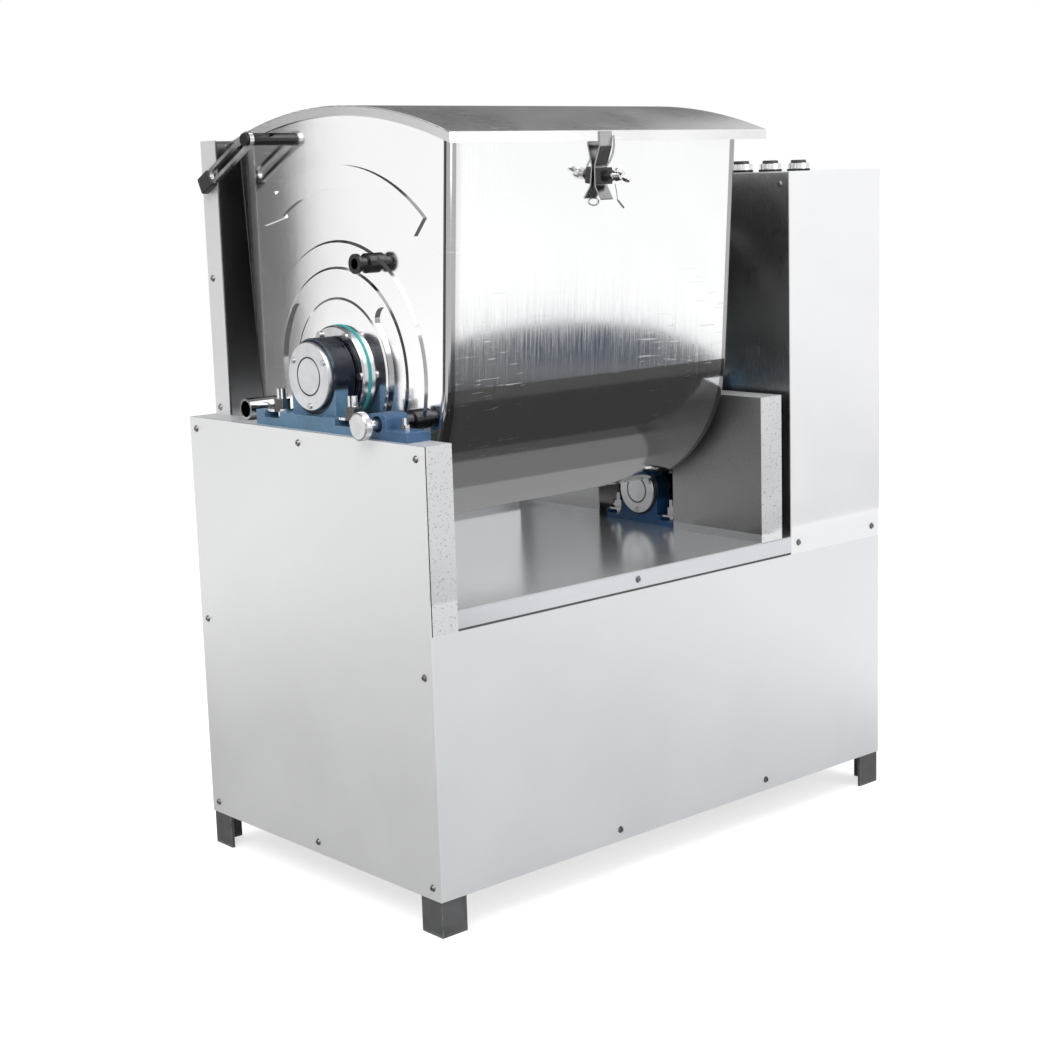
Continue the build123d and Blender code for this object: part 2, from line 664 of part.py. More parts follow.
def left_end_plate():
    """A pressed pan: rounded edge, raised rings, kidney recesses and an arrow."""
    pan = slab_x(plate_outline(0), BOWL_LEFT, BOWL_LEFT + PAN_DEPTH)
    pan = fillet(pan.faces().sort_by(Axis.X)[0].edges(), PAN_CORNER)
    hollow = slab_x(plate_outline(BOWL_SHEET), BOWL_LEFT + BOWL_SHEET, BOWL_LEFT + PAN_DEPTH + 1)
    hollow = fillet(hollow.faces().sort_by(Axis.X)[0].edges(), PAN_CORNER - BOWL_SHEET)
    plate = pan - hollow
    plate = plate + slab_x(arrow(0), BOWL_LEFT - ARROW_RISE, BOWL_LEFT + BOWL_SHEET / 2)
    plate = plate - slab_x(arrow(-BOWL_SHEET), BOWL_LEFT - ARROW_RISE + BOWL_SHEET,
                           BOWL_LEFT + BOWL_SHEET + 1)
    plate = plate - rod_x(0, 0, RING_RADII[0], 0, BOWL_MIDDLE)
    plate = plate + pressed_rings()
    face = BOWL_LEFT - RING_RISES[1]
    floor = face + KIDNEY_DEPTH
    for angle in (0, 180):
        plate = plate + slab_x(kidney(angle, BOWL_SHEET), face + BOWL_SHEET / 2, floor + BOWL_SHEET)
        plate = plate - slab_x(kidney(angle, 0), face - 1, floor)
    return plate


left_plate = left_end_plate()
hub_bore = SHAFT_RADIUS + RUNNING
HUB_SPOTS = [at_angle(HUB_FLANGE_RADIUS - SCREW_HEAD - 1, 60 * step) for step in range(6)]


def left_hub():
    """A hub bolted to the end plate: its flange outside, its barrel and bush inside."""
    inner = HUB_FACE - GASKET
    hub = turned_x([(FLANGE_LEFT, hub_bore), (FLANGE_LEFT, HUB_FLANGE_RADIUS - 2),
                    (FLANGE_LEFT + 2, HUB_FLANGE_RADIUS), (inner, HUB_FLANGE_RADIUS),
                    (inner, HUB_BARREL), (inner + HUB_LENGTH, HUB_BARREL),
                    (inner + HUB_LENGTH, hub_bore)])
    for y, z in HUB_SPOTS:
        hub = hub - rod_x(y, z, SCREW_SHANK, 0, inner - HUB_SKIN)
    return hub


def left_hub_screws():
    """The six screws of a hub, with their heads on its flange."""
    screws = []
    for y, z in HUB_SPOTS:
        head = rod_x(y, z, SCREW_HEAD, FLANGE_LEFT - HUB_SCREW_HEAD, FLANGE_LEFT)
        screws.append(head + rod_x(y, z, SCREW_SHANK, FLANGE_LEFT, HUB_FACE - GASKET - HUB_SKIN))
    return group(screws)


def gasket():
    """The ring between the hub's flange and the end plate."""
    return turned_x([(HUB_FACE - GASKET, HUB_BARREL), (HUB_FACE - GASKET, HUB_FLANGE_RADIUS + 1),
                     (HUB_FACE, HUB_FLANGE_RADIUS + 1), (HUB_FACE, HUB_BARREL)])


shell = slab_x(trough(BOWL_RADIUS, BOWL_TOP), BOWL_LEFT + PAN_DEPTH, BOWL_RIGHT - PAN_DEPTH)
shell = shell - slab_x(trough(BOWL_RADIUS - BOWL_SHEET, LID_APEX), BOWL_LEFT, BOWL_RIGHT)
parts["bowl_shell"] = on_axis(shell)
parts["bowl_left_plate"] = on_axis(left_plate)
parts["bowl_right_plate"] = on_axis(mirrored(left_plate))
parts["bowl_hubs"] = on_axis(group([left_hub(), mirrored(left_hub())]))
parts["hub_screws"] = on_axis(group([left_hub_screws(), mirrored(left_hub_screws())]))
parts["hub_gaskets"] = on_axis(group([gasket(), mirrored(gasket())]))

# Stop tube that rests on the left pedestal while the bowl is upright
def seated(shape):
    """The part of a shape that stands on the left end plate's outer face."""
    return (shape - left_plate).solids().sort_by(Axis.X)[0]


tube = rod_x(STOP_Y, STOP_Z, STOP_RADIUS, STOP_LEFT, BOWL_LEFT)
tube = tube - rod_x(STOP_Y, STOP_Z, STOP_RADIUS - STOP_WALL, 0, BOWL_LEFT - STOP_SOLID)
parts["bowl_stop_tube"] = on_axis(seated(tube))


def lock_socket(turned):
    """A spool-shaped socket for the lock pin, on the end plate, for a bowl turned so far."""
    left = LOCK_RIGHT + SOCKET_GAP
    bore = PIN_RADIUS + 2 * CLEAR
    spool = turned_x([(left, bore), (left, SOCKET_RADIUS), (left + 4, SOCKET_RADIUS),
                      (left + 6, SOCKET_RADIUS - 3), (left + 14, SOCKET_RADIUS - 3),
                      (left + 16, SOCKET_RADIUS), (BOWL_LEFT, SOCKET_RADIUS), (BOWL_LEFT, bore)])
    spool = Pos(0, LOCK_Y - AXIS_Y, LOCK_Z - AXIS_Z) * spool
    return seated(spool.rotate(Axis.X, -turned))


parts["lock_sockets"] = on_axis(group([lock_socket(0), lock_socket(TILT_LOCK)]))

# Handle pivot on the end plate: a shouldered bolt that grips the link
pivot_rim = PIVOT_RADIUS + PIVOT_RIM
pivot_left = HANDLE_LEFT - PIVOT_HEAD
pivot = rod_x(HANDLE_Y, HANDLE_Z, PIVOT_RADIUS, pivot_left, BOWL_LEFT)
pivot = pivot + rod_x(HANDLE_Y, HANDLE_Z, pivot_rim, pivot_left, HANDLE_LEFT - CLEAR)
shoulder = HANDLE_LEFT + HANDLE_THICK + CLEAR
pivot = pivot + rod_x(HANDLE_Y, HANDLE_Z, pivot_rim, shoulder, BOWL_LEFT)
parts["handle_pivot"] = on_axis(seated(pivot))

# Loop link of the handle, drawn along +y from its pivot and then turned to its resting slope
loop = Pos(HANDLE_LINK / 2, 0) * SlotCenterToCenter(HANDLE_LINK, 2 * LOOP_RADIUS)
eye = Pos(HANDLE_LINK / 2, 0) * SlotCenterToCenter(HANDLE_LINK, 2 * (PIVOT_RADIUS + RUNNING))
link = slab_x(loop - eye, HANDLE_LEFT, HANDLE_LEFT + HANDLE_THICK)
grip_middle = HANDLE_LEFT + HANDLE_THICK / 2
grip = box(grip_middle - GRIP_THICK / 2, grip_middle + GRIP_THICK / 2,
           HANDLE_LINK + PIVOT_RADIUS, HANDLE_LENGTH, -GRIP_HALF, GRIP_HALF)
grip = fillet(grip.edges(), 3)
grip = grip - link


def on_handle(shape):
    """Turn a shape drawn along +y about the pivot, and put it on the pivot."""
    return on_axis(Pos(0, HANDLE_Y, HANDLE_Z) * Rot(HANDLE_ANGLE, 0, 0) * shape)


parts["handle_link"] = on_handle(link)
parts["handle_grip"] = on_handle(grip)


# Lid

def arch_band(drop_top, drop_bottom, front, rear):
    """The space between two heights of the arch, cut off at a front and a rear depth."""
    ring = arch_disc(drop_top) - arch_disc(drop_bottom)
    reach = LID_APEX + LID_FLANGE
    window = Pos((rear - front) / 2, LID_EDGE) * Rectangle(front + rear, 2 * (reach - LID_EDGE))
    return ring & window


lid = slab_x(arch_band(0, LID_FLANGE, LID_FRONT, LID_REAR), LID_LEFT, LID_RIGHT)
lid_inside = slab_x(arch_band(LID_SHEET, 2 * LID_FLANGE, LID_FRONT - LID_SHEET, LID_REAR - LID_SHEET),
                    LID_LEFT + LID_SHEET, LID_RIGHT - LID_SHEET)
lid = lid - lid_inside
lid = lid - box(0, BASE_WIDTH, LID_REAR - 5, LID_REAR + 1, 0, LID_EDGE - LID_REAR_FLANGE)
lid = fillet(lid.faces().filter_by(GeomType.CYLINDER).sort_by(Axis.Z)[-1].edges(), LID_FOLD)
parts["lid_cover"] = on_axis(lid)


def wall_y(z):
    """How far in front of the shaft the front wall's outer face is, at a height z."""
    return BOWL_RADIUS * cos(LEAN) + (z + BOWL_RADIUS * sin(LEAN)) * tan(LEAN)


# Curved strap that hangs from the lid's front flange, with the block that carries the screw
strap_y = -wall_y(CLAMP_Z) - STRAP_GAP - STRAP_THICK / 2
flange_y = -LID_FRONT - STRAP_THICK / 2
strap = strip_x(((flange_y, LID_EDGE - 1), (flange_y, LID_EDGE - LID_FLANGE - 6),
                 (strap_y, CLAMP_Z + STRAP_FLAT), (strap_y, CLAMP_Z - STRAP_FLAT),
                 (flange_y, CLAMP_Z - STRAP_TAIL)),
                STRAP_THICK, STRAP_BEND, CLAMP_X - STRAP_WIDTH / 2, CLAMP_X + STRAP_WIDTH / 2)
screw_hole = rod_y(CLAMP_X, CLAMP_Z, SCREW_RADIUS + CLEAR, -2 * LID_FRONT, 0)
parts["clamp_strap"] = on_axis(strap - screw_hole)

block_back = strap_y - STRAP_THICK / 2
block_front = block_back - CLAMP_BLOCK
block = box(CLAMP_X - STRAP_WIDTH / 2, CLAMP_X + STRAP_WIDTH / 2, block_front, block_back,
            CLAMP_Z - CLAMP_HALF, CLAMP_Z + CLAMP_HALF)
block = fillet(block.edges().filter_by(Axis.Y), 2)
nut_outline = Pos(CLAMP_X, CLAMP_Z) * RegularPolygon(NUT_RADIUS, 6)
block = block + slab_y(nut_outline, block_front - NUT_THICK, block_front)
block = block - rod_y(CLAMP_X, CLAMP_Z, SCREW_RADIUS + RUNNING, -2 * LID_FRONT, 0)
parts["clamp_block"] = on_axis(block)


def wing_screw():
    """A screw through the block: its tip stops short of the bowl, its wings are in front."""
    tip = block_back + STRAP_THICK + TIP_STANDS
    hub_back = block_front - NUT_THICK - WING_BACK
    screw = rod_y(CLAMP_X, CLAMP_Z, SCREW_RADIUS, hub_back - WING_HUB, tip)
    hub = Pos(CLAMP_X, hub_back - WING_HUB / 2, CLAMP_Z) * Rot(90, 0, 0) * Cone(7, 5.5, WING_HUB)
    tip_circle = Pos(WING_SPAN - 5, -WING_HUB) * Circle(5)
    root = Pos(2, -WING_HUB / 2) * Rectangle(2, WING_HUB - 2)
    wing = extrude(make_hull(tip_circle.edges() + root.edges()), amount=1.6, both=True)
    pair = Pos(CLAMP_X, hub_back, CLAMP_Z) * Rot(0, 35, 0) * (wing + mirror(wing, about=Plane.YZ))
    return screw + hub + pair


parts["wing_screw"] = on_axis(wing_screw())



# Lid hinges

def hinge_at(x):
    """The pin, the bowl's leaf with two knuckles and the lid's leaf with one, about x."""
    left = x - HINGE_WIDTH / 2
    right = x + HINGE_WIDTH / 2
    third = HINGE_WIDTH / 3
    low = BOWL_TOP - HINGE_DROP
    pin = rod_x(HINGE_Y, HINGE_Z, HINGE_WIRE, left, right)
    leaf = make_face(Polyline((wall_y(low), low), (wall_y(low) + HINGE_LEAF, low),
                              (wall_y(BOWL_TOP) + HINGE_LEAF, BOWL_TOP),
                              (wall_y(BOWL_TOP), BOWL_TOP), close=True))
    bowl_leaf = slab_x(leaf, left, right)
    for x0, x1 in ((left, left + third), (right - third, right)):
        bowl_leaf = bowl_leaf + rod_x(HINGE_Y, HINGE_Z, KNUCKLE, x0, x1)
        bowl_leaf = bowl_leaf + box(x0, x1, wall_y(BOWL_TOP), HINGE_Y, HINGE_Z - KNUCKLE, HINGE_Z)
    bowl_leaf = bowl_leaf - rod_x(HINGE_Y, HINGE_Z, HINGE_WIRE, left, right)
    middle = (left + third + KNUCKLE_GAP / 2, right - third - KNUCKLE_GAP / 2)
    slot = box(left + third, right - third, HINGE_Y - KNUCKLE - KNUCKLE_GAP, HINGE_Y + KNUCKLE + 1,
               HINGE_Z - KNUCKLE - KNUCKLE_GAP, HINGE_Z + KNUCKLE + 1)
    bowl_leaf = bowl_leaf - slot
    seat = LID_SHEET + HINGE_SEAT
    under = arch_disc(seat) - arch_disc(seat + HINGE_LEAF)
    under = under & (Pos(HINGE_Y - HINGE_LEAF, LID_EDGE) * Rectangle(2 * KNUCKLE + 8, 60))
    lid_leaf = slab_x(under, left, right)
    bridge = Pos(HINGE_Y, HINGE_Z + KNUCKLE) * Rectangle(KNUCKLE, 2 * KNUCKLE)
    lid_leaf = lid_leaf + slab_x(bridge & arch_disc(seat), middle[0], middle[1])
    lid_leaf = lid_leaf + rod_x(HINGE_Y, HINGE_Z, KNUCKLE, middle[0], middle[1])
    lid_leaf = lid_leaf - rod_x(HINGE_Y, HINGE_Z, HINGE_WIRE + RUNNING, left, right)
    return pin, bowl_leaf, lid_leaf


pins, bowl_leaves, lid_leaves = zip(*[hinge_at(x) for x in HINGE_XS])
parts["lid_hinge_pins"] = on_axis(group(pins))
parts["bowl_hinge_leaves"] = on_axis(group(bowl_leaves))
parts["lid_hinge_leaves"] = on_axis(group(lid_leaves))


# Pillow blocks, drawn facing left with the shaft's axis at the origin

def pillow_block(large, foot_from, seat):
    """A cast block: its barrel runs from x = 0 to the right, its foot stands on seat."""
    if large:
        radius, length, half, depth = HOUSING_RADIUS, HOUSING_LENGTH, FOOT_HALF, FOOT_DEPTH
        pocket, deep, bore = BEARING_RADIUS, CAP_THICK + BEARING_WIDTH, SEAL_RADIUS
        thick, pitch, bolt = FOOT_THICK, BOLT_PITCH, BOLT_RADIUS
        web_half, recess_half = WEB_HALF, RECESS_HALF
    else:
        radius, length, half, depth = SMALL_RADIUS, SMALL_LENGTH, SMALL_FOOT_HALF, SMALL_FOOT_DEPTH
        pocket, deep = SMALL_BEARING_RADIUS, SMALL_CAP_THICK + SMALL_BEARING_WIDTH
        bore = PINION_SHAFT_RADIUS + CLEAR
        thick, pitch, bolt = SMALL_FOOT_THICK, SMALL_BOLT_PITCH, SMALL_BOLT_RADIUS
        web_half, recess_half = SMALL_WEB_HALF, SMALL_RECESS_HALF
    foot_to = foot_from + depth
    middle = (foot_from + foot_to) / 2
    foot = box(foot_from, foot_to, -half, half, seat, seat + thick)
    foot = fillet(foot.edges().filter_by(Axis.Z), CAST_ROUND)
    for side in (-1, 1):
        y = side * pitch / 2
        floor = seat + thick * RECESS_FLOOR
        foot = foot - rod_z(middle, y, recess_half, floor, seat + thick + 1)
        foot = foot - box(foot_from - 1, middle, y - recess_half, y + recess_half,
                          floor, seat + thick + 1)
        foot = foot - rod_z(middle, y, bolt + CLEAR, seat - 1, seat + thick)
    sole = Pos(0, seat + thick / 2) * Rectangle(2 * web_half, thick)
    web = make_hull(Circle(radius - 1).edges() + sole.edges())
    block = turned_x([(0, 0), (0, radius - CAST_EDGE), (CAST_EDGE, radius),
                      (length - CAST_EDGE, radius), (length, radius - CAST_EDGE), (length, 0)])
    block = block + foot + slab_x(web, 0, min(length, foot_to))
    block = block - rod_x(0, 0, pocket, -1, deep)
    return block - rod_x(0, 0, bore, 0, length + 1)


def cap(radius, thick, pocket, bore):
    """A bearing cap with a turned groove and a spigot that holds the bearing."""
    groove = CAP_GROOVE * radius
    outline = [(-thick, bore), (-thick, groove - 1), (1 - thick, groove - 1),
               (1 - thick, groove + 1), (-thick, groove + 1), (-thick, radius - 1),
               (1 - thick, radius), (0, radius), (0, pocket), (thick, pocket),
               (thick, pocket - CAP_SPIGOT), (0, pocket - CAP_SPIGOT), (0, bore)]
    piece = turned_x(outline)
    for y, z in cap_spots(radius):
        piece = piece - rod_x(y, z, SCREW_SHANK, -thick - 1, 0)
    return piece


def cap_spots(radius):
    """Where a cap's three screws are."""
    return [at_angle(radius * CAP_SCREWS, angle) for angle in (30, 150, 270)]


def cap_screws(radius, thick):
    """A cap's three screws."""
    screws = []
    for y, z in cap_spots(radius):
        head = rod_x(y, z, CAP_SCREW_HEAD, -thick - CAP_SCREW_RISE, -thick)
        screws.append(head + rod_x(y, z, SCREW_SHANK, -thick, 0))
    return screws


def bearing(left, width, inner, outer):
    """A ball bearing as one ring, with its shields set back on both faces."""
    right = left + width
    a = inner + (outer - inner) * RACE_SHARE
    b = outer - (outer - inner) * RACE_SHARE
    return turned_x([(left, inner), (left, a), (left + 1, a), (left + 1, b), (left, b),
                     (left, outer), (right, outer), (right, b), (right - 1, b), (right - 1, a),
                     (right, a), (right, inner)])


def at_left(shape):
    """Put a left-facing piece at the left main bearing."""
    return Pos(BARREL_LEFT, AXIS_Y, AXIS_Z) * shape


def at_right(shape):
    """Put a piece at the right main bearing, turned to face right."""
    return Pos(RIGHT_END, AXIS_Y, AXIS_Z) * mirror(shape, about=Plane.YZ)


def at_small_left(shape):
    """Put a left-facing piece at the pinion shaft's left bearing."""
    return Pos(SMALL_LEFT, AXIS_Y, PINION_Z) * shape


def at_small_right(shape):
    """Put a piece at the pinion shaft's right bearing, turned to face right."""
    return Pos(SMALL_END, AXIS_Y, PINION_Z) * mirror(shape, about=Plane.YZ)


left_foot = PEDESTAL_WIDTH - FOOT_DEPTH - BARREL_LEFT
parts["left_bearing_housing"] = at_left(pillow_block(True, left_foot, SEAT))
parts["right_bearing_housing"] = at_right(pillow_block(True, FOOT_SHIFT, SEAT))
small_block = pillow_block(False, 0, DECK_HEIGHT - PINION_Z)
parts["pinion_left_housing"] = at_small_left(small_block)
small_block = pillow_block(False, 0, DECK_UNDER - PINION_Z)
parts["pinion_right_housing"] = at_small_right(small_block)

small_cap = cap(SMALL_CAP_RADIUS, SMALL_CAP_THICK, SMALL_BEARING_RADIUS, 0)
caps = [at_left(cap(CAP_RADIUS, CAP_THICK, BEARING_RADIUS, 0)),
        at_right(cap(CAP_RADIUS, CAP_THICK, BEARING_RADIUS, SHAFT_RADIUS + 2 * CLEAR)),
        at_small_left(small_cap), at_small_right(small_cap)]
parts["bearing_caps"] = group(caps)

large_screws = group(cap_screws(CAP_RADIUS, CAP_THICK))
small_screws = group(cap_screws(SMALL_CAP_RADIUS, SMALL_CAP_THICK))
parts["cap_screws"] = group([at_left(large_screws), at_right(large_screws),
                             at_small_left(small_screws), at_small_right(small_screws)])

large_ring = bearing(CAP_THICK, BEARING_WIDTH, SHAFT_RADIUS + RUNNING, BEARING_RADIUS)
small_ring = bearing(SMALL_CAP_THICK, SMALL_BEARING_WIDTH, PINION_SHAFT_RADIUS + RUNNING,
                     SMALL_BEARING_RADIUS)
parts["bearings"] = group([at_left(large_ring), at_right(large_ring),
                           at_small_left(small_ring), at_small_right(small_ring)])

seal_left = CAP_THICK + BEARING_WIDTH
seal = turned_x([(seal_left, SHAFT_RADIUS + RUNNING), (seal_left, SEAL_RADIUS),
                 (HOUSING_LENGTH, SEAL_RADIUS), (HOUSING_LENGTH, SHAFT_RADIUS + RUNNING)])
parts["shaft_seals"] = group([at_left(seal), at_right(seal)])


def stud(x, y, radius, top, under):
    """A stud with a washer and nut on the foot's top and a nut below what the block stands on."""
    nut = Pos(x, y) * RegularPolygon(radius * NUT_WIDE, 6)
    thick = radius * NUT_TALL
    washer_top = top + radius * WASHER_THICK
    piece = rod_z(x, y, radius, under - radius * STUD_BELOW, top + radius * STUD_ABOVE)
    piece = piece + rod_z(x, y, radius * WASHER_WIDE, top, washer_top)
    return piece + slab_z(nut, washer_top, washer_top + thick) + slab_z(nut, under - thick, under)


bolts = []
for side in (-1, 1):
    for x in (LEFT_BOLT_X, RIGHT_BOLT_X):
        bolts.append(stud(x, AXIS_Y + side * BOLT_PITCH / 2, BOLT_RADIUS,
                          PEDESTAL_HEIGHT + FOOT_THICK, BEAM_UNDER))
    for x, sole in zip(SMALL_BOLT_XS, (DECK_HEIGHT, DECK_UNDER)):
        bolts.append(stud(x, AXIS_Y + side * SMALL_BOLT_PITCH / 2, SMALL_BOLT_RADIUS,
                          sole + SMALL_FOOT_THICK, BENCH_UNDER - LEG_WALL))

# Lock block on the left pedestal, with the pocket for the pin's neck, and its bolt
block_outline = Pos(LOCK_Y, PEDESTAL_HEIGHT + LOCK_TALL / 2) * Rectangle(2 * LOCK_HALF, LOCK_TALL)
block_outline = fillet(block_outline.vertices().group_by(Axis.Y)[-1], LOCK_ROUND)
lock_block = slab_x(block_outline, LOCK_LEFT, LOCK_RIGHT)
flange_front = LOCK_Y - LOCK_HALF - LOCK_FLANGE
flange_top = PEDESTAL_HEIGHT + LOCK_FLANGE_THICK
lock_block = lock_block + box(LOCK_LEFT, LOCK_RIGHT, flange_front, LOCK_Y, PEDESTAL_HEIGHT, flange_top)
lock_block = lock_block - rod_x(LOCK_Y, LOCK_Z, PIN_RADIUS + RUNNING, 0, LOCK_RIGHT + 1)
lock_block = lock_block - rod_x(LOCK_Y, LOCK_Z, NECK_RADIUS + 1, 0, LOCK_LEFT + PIN_TRAVEL - 2)
bolt_x = (LOCK_LEFT + LOCK_RIGHT) / 2
bolt_y = LOCK_Y - LOCK_HALF - LOCK_BOLT
parts["lock_block"] = lock_block - rod_z(bolt_x, bolt_y, BOLT_RADIUS / 2 + CLEAR, 0, AXIS_Z)
head = Pos(bolt_x, bolt_y) * RegularPolygon(BOLT_RADIUS, 6)
bolts.append(rod_z(bolt_x, bolt_y, BOLT_RADIUS / 2, PEDESTAL_HEIGHT, flange_top + LOCK_BOLT)
             + slab_z(head, flange_top, flange_top + BOLT_RADIUS))
parts["housing_bolts"] = group(bolts)

# Pull pin with its round knob, drawn withdrawn
knob_left = -SHEET - PIN_TRAVEL - PIN_STANDS
neck_left = knob_left + KNOB_THICK
parts["lock_pin"] = Pos(0, LOCK_Y, LOCK_Z) * turned_x([
    (knob_left, 0), (knob_left, KNOB_RADIUS - 2), (knob_left + 2, KNOB_RADIUS),
    (neck_left - 2, KNOB_RADIUS), (neck_left, KNOB_RADIUS - 2), (neck_left, NECK_RADIUS),
    (neck_left + NECK_LENGTH, NECK_RADIUS), (neck_left + NECK_LENGTH, PIN_RADIUS),
    (LOCK_RIGHT - 3, PIN_RADIUS), (LOCK_RIGHT - 1, PIN_RADIUS - 2), (LOCK_RIGHT - 1, 0)])

# Main shaft and mixing arms
shaft_left = BARREL_LEFT + 1
shaft_right = GEAR_RIGHT + HUB_STANDS
parts["main_shaft"] = on_axis(turned_x([
    (shaft_left, 0), (shaft_left, SHAFT_RADIUS - 1), (shaft_left + 1, SHAFT_RADIUS),
    (shaft_right - 1, SHAFT_RADIUS), (shaft_right, SHAFT_RADIUS - 1), (shaft_right, 0)]))


def bar_between(start, end, radius):
    """A round bar between two points."""
    run = Vector(*end) - Vector(*start)
    return Plane(origin=(Vector(*start) + Vector(*end)) / 2, z_dir=run) * Cylinder(radius, run.length)


def mixing_arms():
    """Three hubs with three spokes each, joined near the bowl's wall by slanting bars."""
    xs = (BOWL_LEFT + ARM_INSET, BOWL_MIDDLE, BOWL_RIGHT - ARM_INSET)
    arms = rod_x(0, 0, ARM_HUB, xs[0] - ARM_HUB_LENGTH / 2, xs[0] + ARM_HUB_LENGTH / 2)
    for x in xs[1:]:
        arms = arms + rod_x(0, 0, ARM_HUB, x - ARM_HUB_LENGTH / 2, x + ARM_HUB_LENGTH / 2)
    for arm in range(3):
        ends = [(x, *at_angle(ARM_RADIUS, 120 * arm + ARM_TWIST * turn)) for turn, x in enumerate(xs)]
        for end in ends:
            arms = arms + bar_between((end[0], 0, 0), end, ARM_BAR) + Pos(*end) * Sphere(ARM_BAR)
        for start, end in zip(ends, ends[1:]):
            arms = arms + bar_between(start, end, ARM_BAR)
    return arms - rod_x(0, 0, SHAFT_RADIUS + RUNNING, 0, BASE_WIDTH)


parts["mixing_arms"] = on_axis(mixing_arms())


# Gear pair

def involute(angle):
    """The involute function of a pressure angle."""
    return tan(angle) - angle


def gear_outline(teeth, phase):
    """A spur gear's outline as (y, z) with a tooth's middle at the angle phase."""
    pitch = MODULE * teeth / 2
    base = pitch * cos(radians(PRESSURE_ANGLE))
    root = pitch - 1.25 * MODULE
    tip = pitch + MODULE
    half = pi / (2 * teeth) - TOOTH_THINNING / (2 * pitch) + involute(radians(PRESSURE_ANGLE))
    low = max(base, root) + 0.01
    flank = [(root, half - involute(acos(base / low)))]
    for step in range(4):
        radius = low + (tip - low) * step / 3
        flank.append((radius, half - involute(acos(base / radius))))
    points = []
    for tooth in range(teeth):
        middle = radians(phase) + 2 * pi * tooth / teeth
        for radius, spread in flank:
            points.append((radius * cos(middle - spread), radius * sin(middle - spread)))
        for radius, spread in reversed(flank):
            points.append((radius * cos(middle + spread), radius * sin(middle + spread)))
    return make_face(Polyline(*points, close=True))


gear = slab_x(gear_outline(GEAR_TEETH, -90), GEAR_LEFT, GEAR_RIGHT)
dish = (GEAR_FACE - WEB_THICK) / 2
for x0, x1 in ((GEAR_LEFT - 1, GEAR_LEFT + dish), (GEAR_RIGHT - dish, GEAR_RIGHT + 1)):
    ring = rod_x(0, 0, RIM_INSIDE, x0, x1) - rod_x(0, 0, GEAR_HUB, x0 - 1, x1 + 1)
    gear = gear - ring
for step in range(6):
    y, z = at_angle((RIM_INSIDE + GEAR_HUB) / 2, 60 * step)
    gear = gear - rod_x(y, z, GEAR_WINDOW, GEAR_LEFT, GEAR_RIGHT)
gear = gear + rod_x(0, 0, GEAR_HUB, GEAR_LEFT - HUB_STANDS, GEAR_RIGHT + HUB_STANDS)
gear = gear - rod_x(0, 0, SHAFT_RADIUS + RUNNING, 0, BASE_WIDTH)
parts["main_gear"] = on_axis(gear)

pinion = slab_x(gear_outline(PINION_TEETH, 90 + 180 / PINION_TEETH), GEAR_LEFT - 2, GEAR_RIGHT + 2)
pinion = pinion + turned_x([
    (SMALL_LEFT + 1, 0), (SMALL_LEFT + 1, PINION_SHAFT_RADIUS - 1),
    (SMALL_LEFT + 2, PINION_SHAFT_RADIUS), (SMALL_END - 2, PINION_SHAFT_RADIUS),
    (SMALL_END - 1, PINION_SHAFT_RADIUS - 1), (SMALL_END - 1, 0)])
parts["pinion_shaft"] = Pos(0, AXIS_Y, PINION_Z) * pinion


# Belt drive

def pulley_outline(radius, bore):
    """The outline of a pulley with two V grooves, from its bore out to its rim."""
    middle = (PULLEY_LEFT + PULLEY_RIGHT) / 2
    deep = BELT_DEPTH + 3 * BELT_CLEAR
    wide = BELT_WIDTH / 2 + BELT_CLEAR
    narrow = wide - deep * tan(radians(BELT_SLOPE))
    outline = [(PULLEY_LEFT, bore), (PULLEY_LEFT, radius)]
    for groove in (middle - BELT_PITCH / 2, middle + BELT_PITCH / 2):
        outline += [(groove - wide, radius), (groove - narrow, radius - deep),
                    (groove + narrow, radius - deep), (groove + wide, radius)]
    return outline + [(PULLEY_RIGHT, radius), (PULLEY_RIGHT, bore)]


large_pulley = turned_x(pulley_outline(PULLEY_RADIUS, PINION_SHAFT_RADIUS + RUNNING))
for step in range(5):
    y, z = at_angle(PULLEY_RADIUS * 0.56, 72 * step)
    large_pulley = large_pulley - rod_x(y, z, PULLEY_RADIUS / 6, PULLEY_LEFT - 1, PULLEY_RIGHT + 1)
parts["large_pulley"] = Pos(0, AXIS_Y, PINION_Z) * large_pulley

rotor_left = MOTOR_RIGHT - MOTOR_LENGTH / 2
rotor = turned_x([(rotor_left, 0), (rotor_left, MOTOR_SHAFT_RADIUS)]
                 + pulley_outline(MOTOR_PULLEY_RADIUS, MOTOR_SHAFT_RADIUS) + [(PULLEY_RIGHT, 0)])
parts["motor_rotor"] = Pos(0, AXIS_Y, MOTOR_Z) * rotor


def belt(middle):
    """A V-belt round both pulleys, as a trapezoid swept along the pulleys' rims."""
    lean = asin((PULLEY_RADIUS - MOTOR_PULLEY_RADIUS) / (PINION_Z - MOTOR_Z))
    tilt = degrees(lean)
    down = CenterArc((AXIS_Y, PINION_Z), PULLEY_RADIUS, 90, -90 - tilt)
    turn = CenterArc((AXIS_Y, MOTOR_Z), MOTOR_PULLEY_RADIUS, -tilt, 2 * tilt - 180)
    back = CenterArc((AXIS_Y, PINION_Z), PULLEY_RADIUS, 180 + tilt, -90 - tilt)
    path = Wire([down.edge(), Line(down @ 1, turn @ 0).edge(), turn.edge(),
                 Line(turn @ 1, back @ 0).edge(), back.edge()])
    narrow = BELT_WIDTH / 2 - BELT_DEPTH * tan(radians(BELT_SLOPE))
    top = PINION_Z + PULLEY_RADIUS
    section = make_face(Polyline((middle - BELT_WIDTH / 2, top), (middle + BELT_WIDTH / 2, top),
                                 (middle + narrow, top - BELT_DEPTH),
                                 (middle - narrow, top - BELT_DEPTH), close=True))
    return sweep(Plane.XZ.offset(-AXIS_Y) * section, path=Plane.YZ * path)


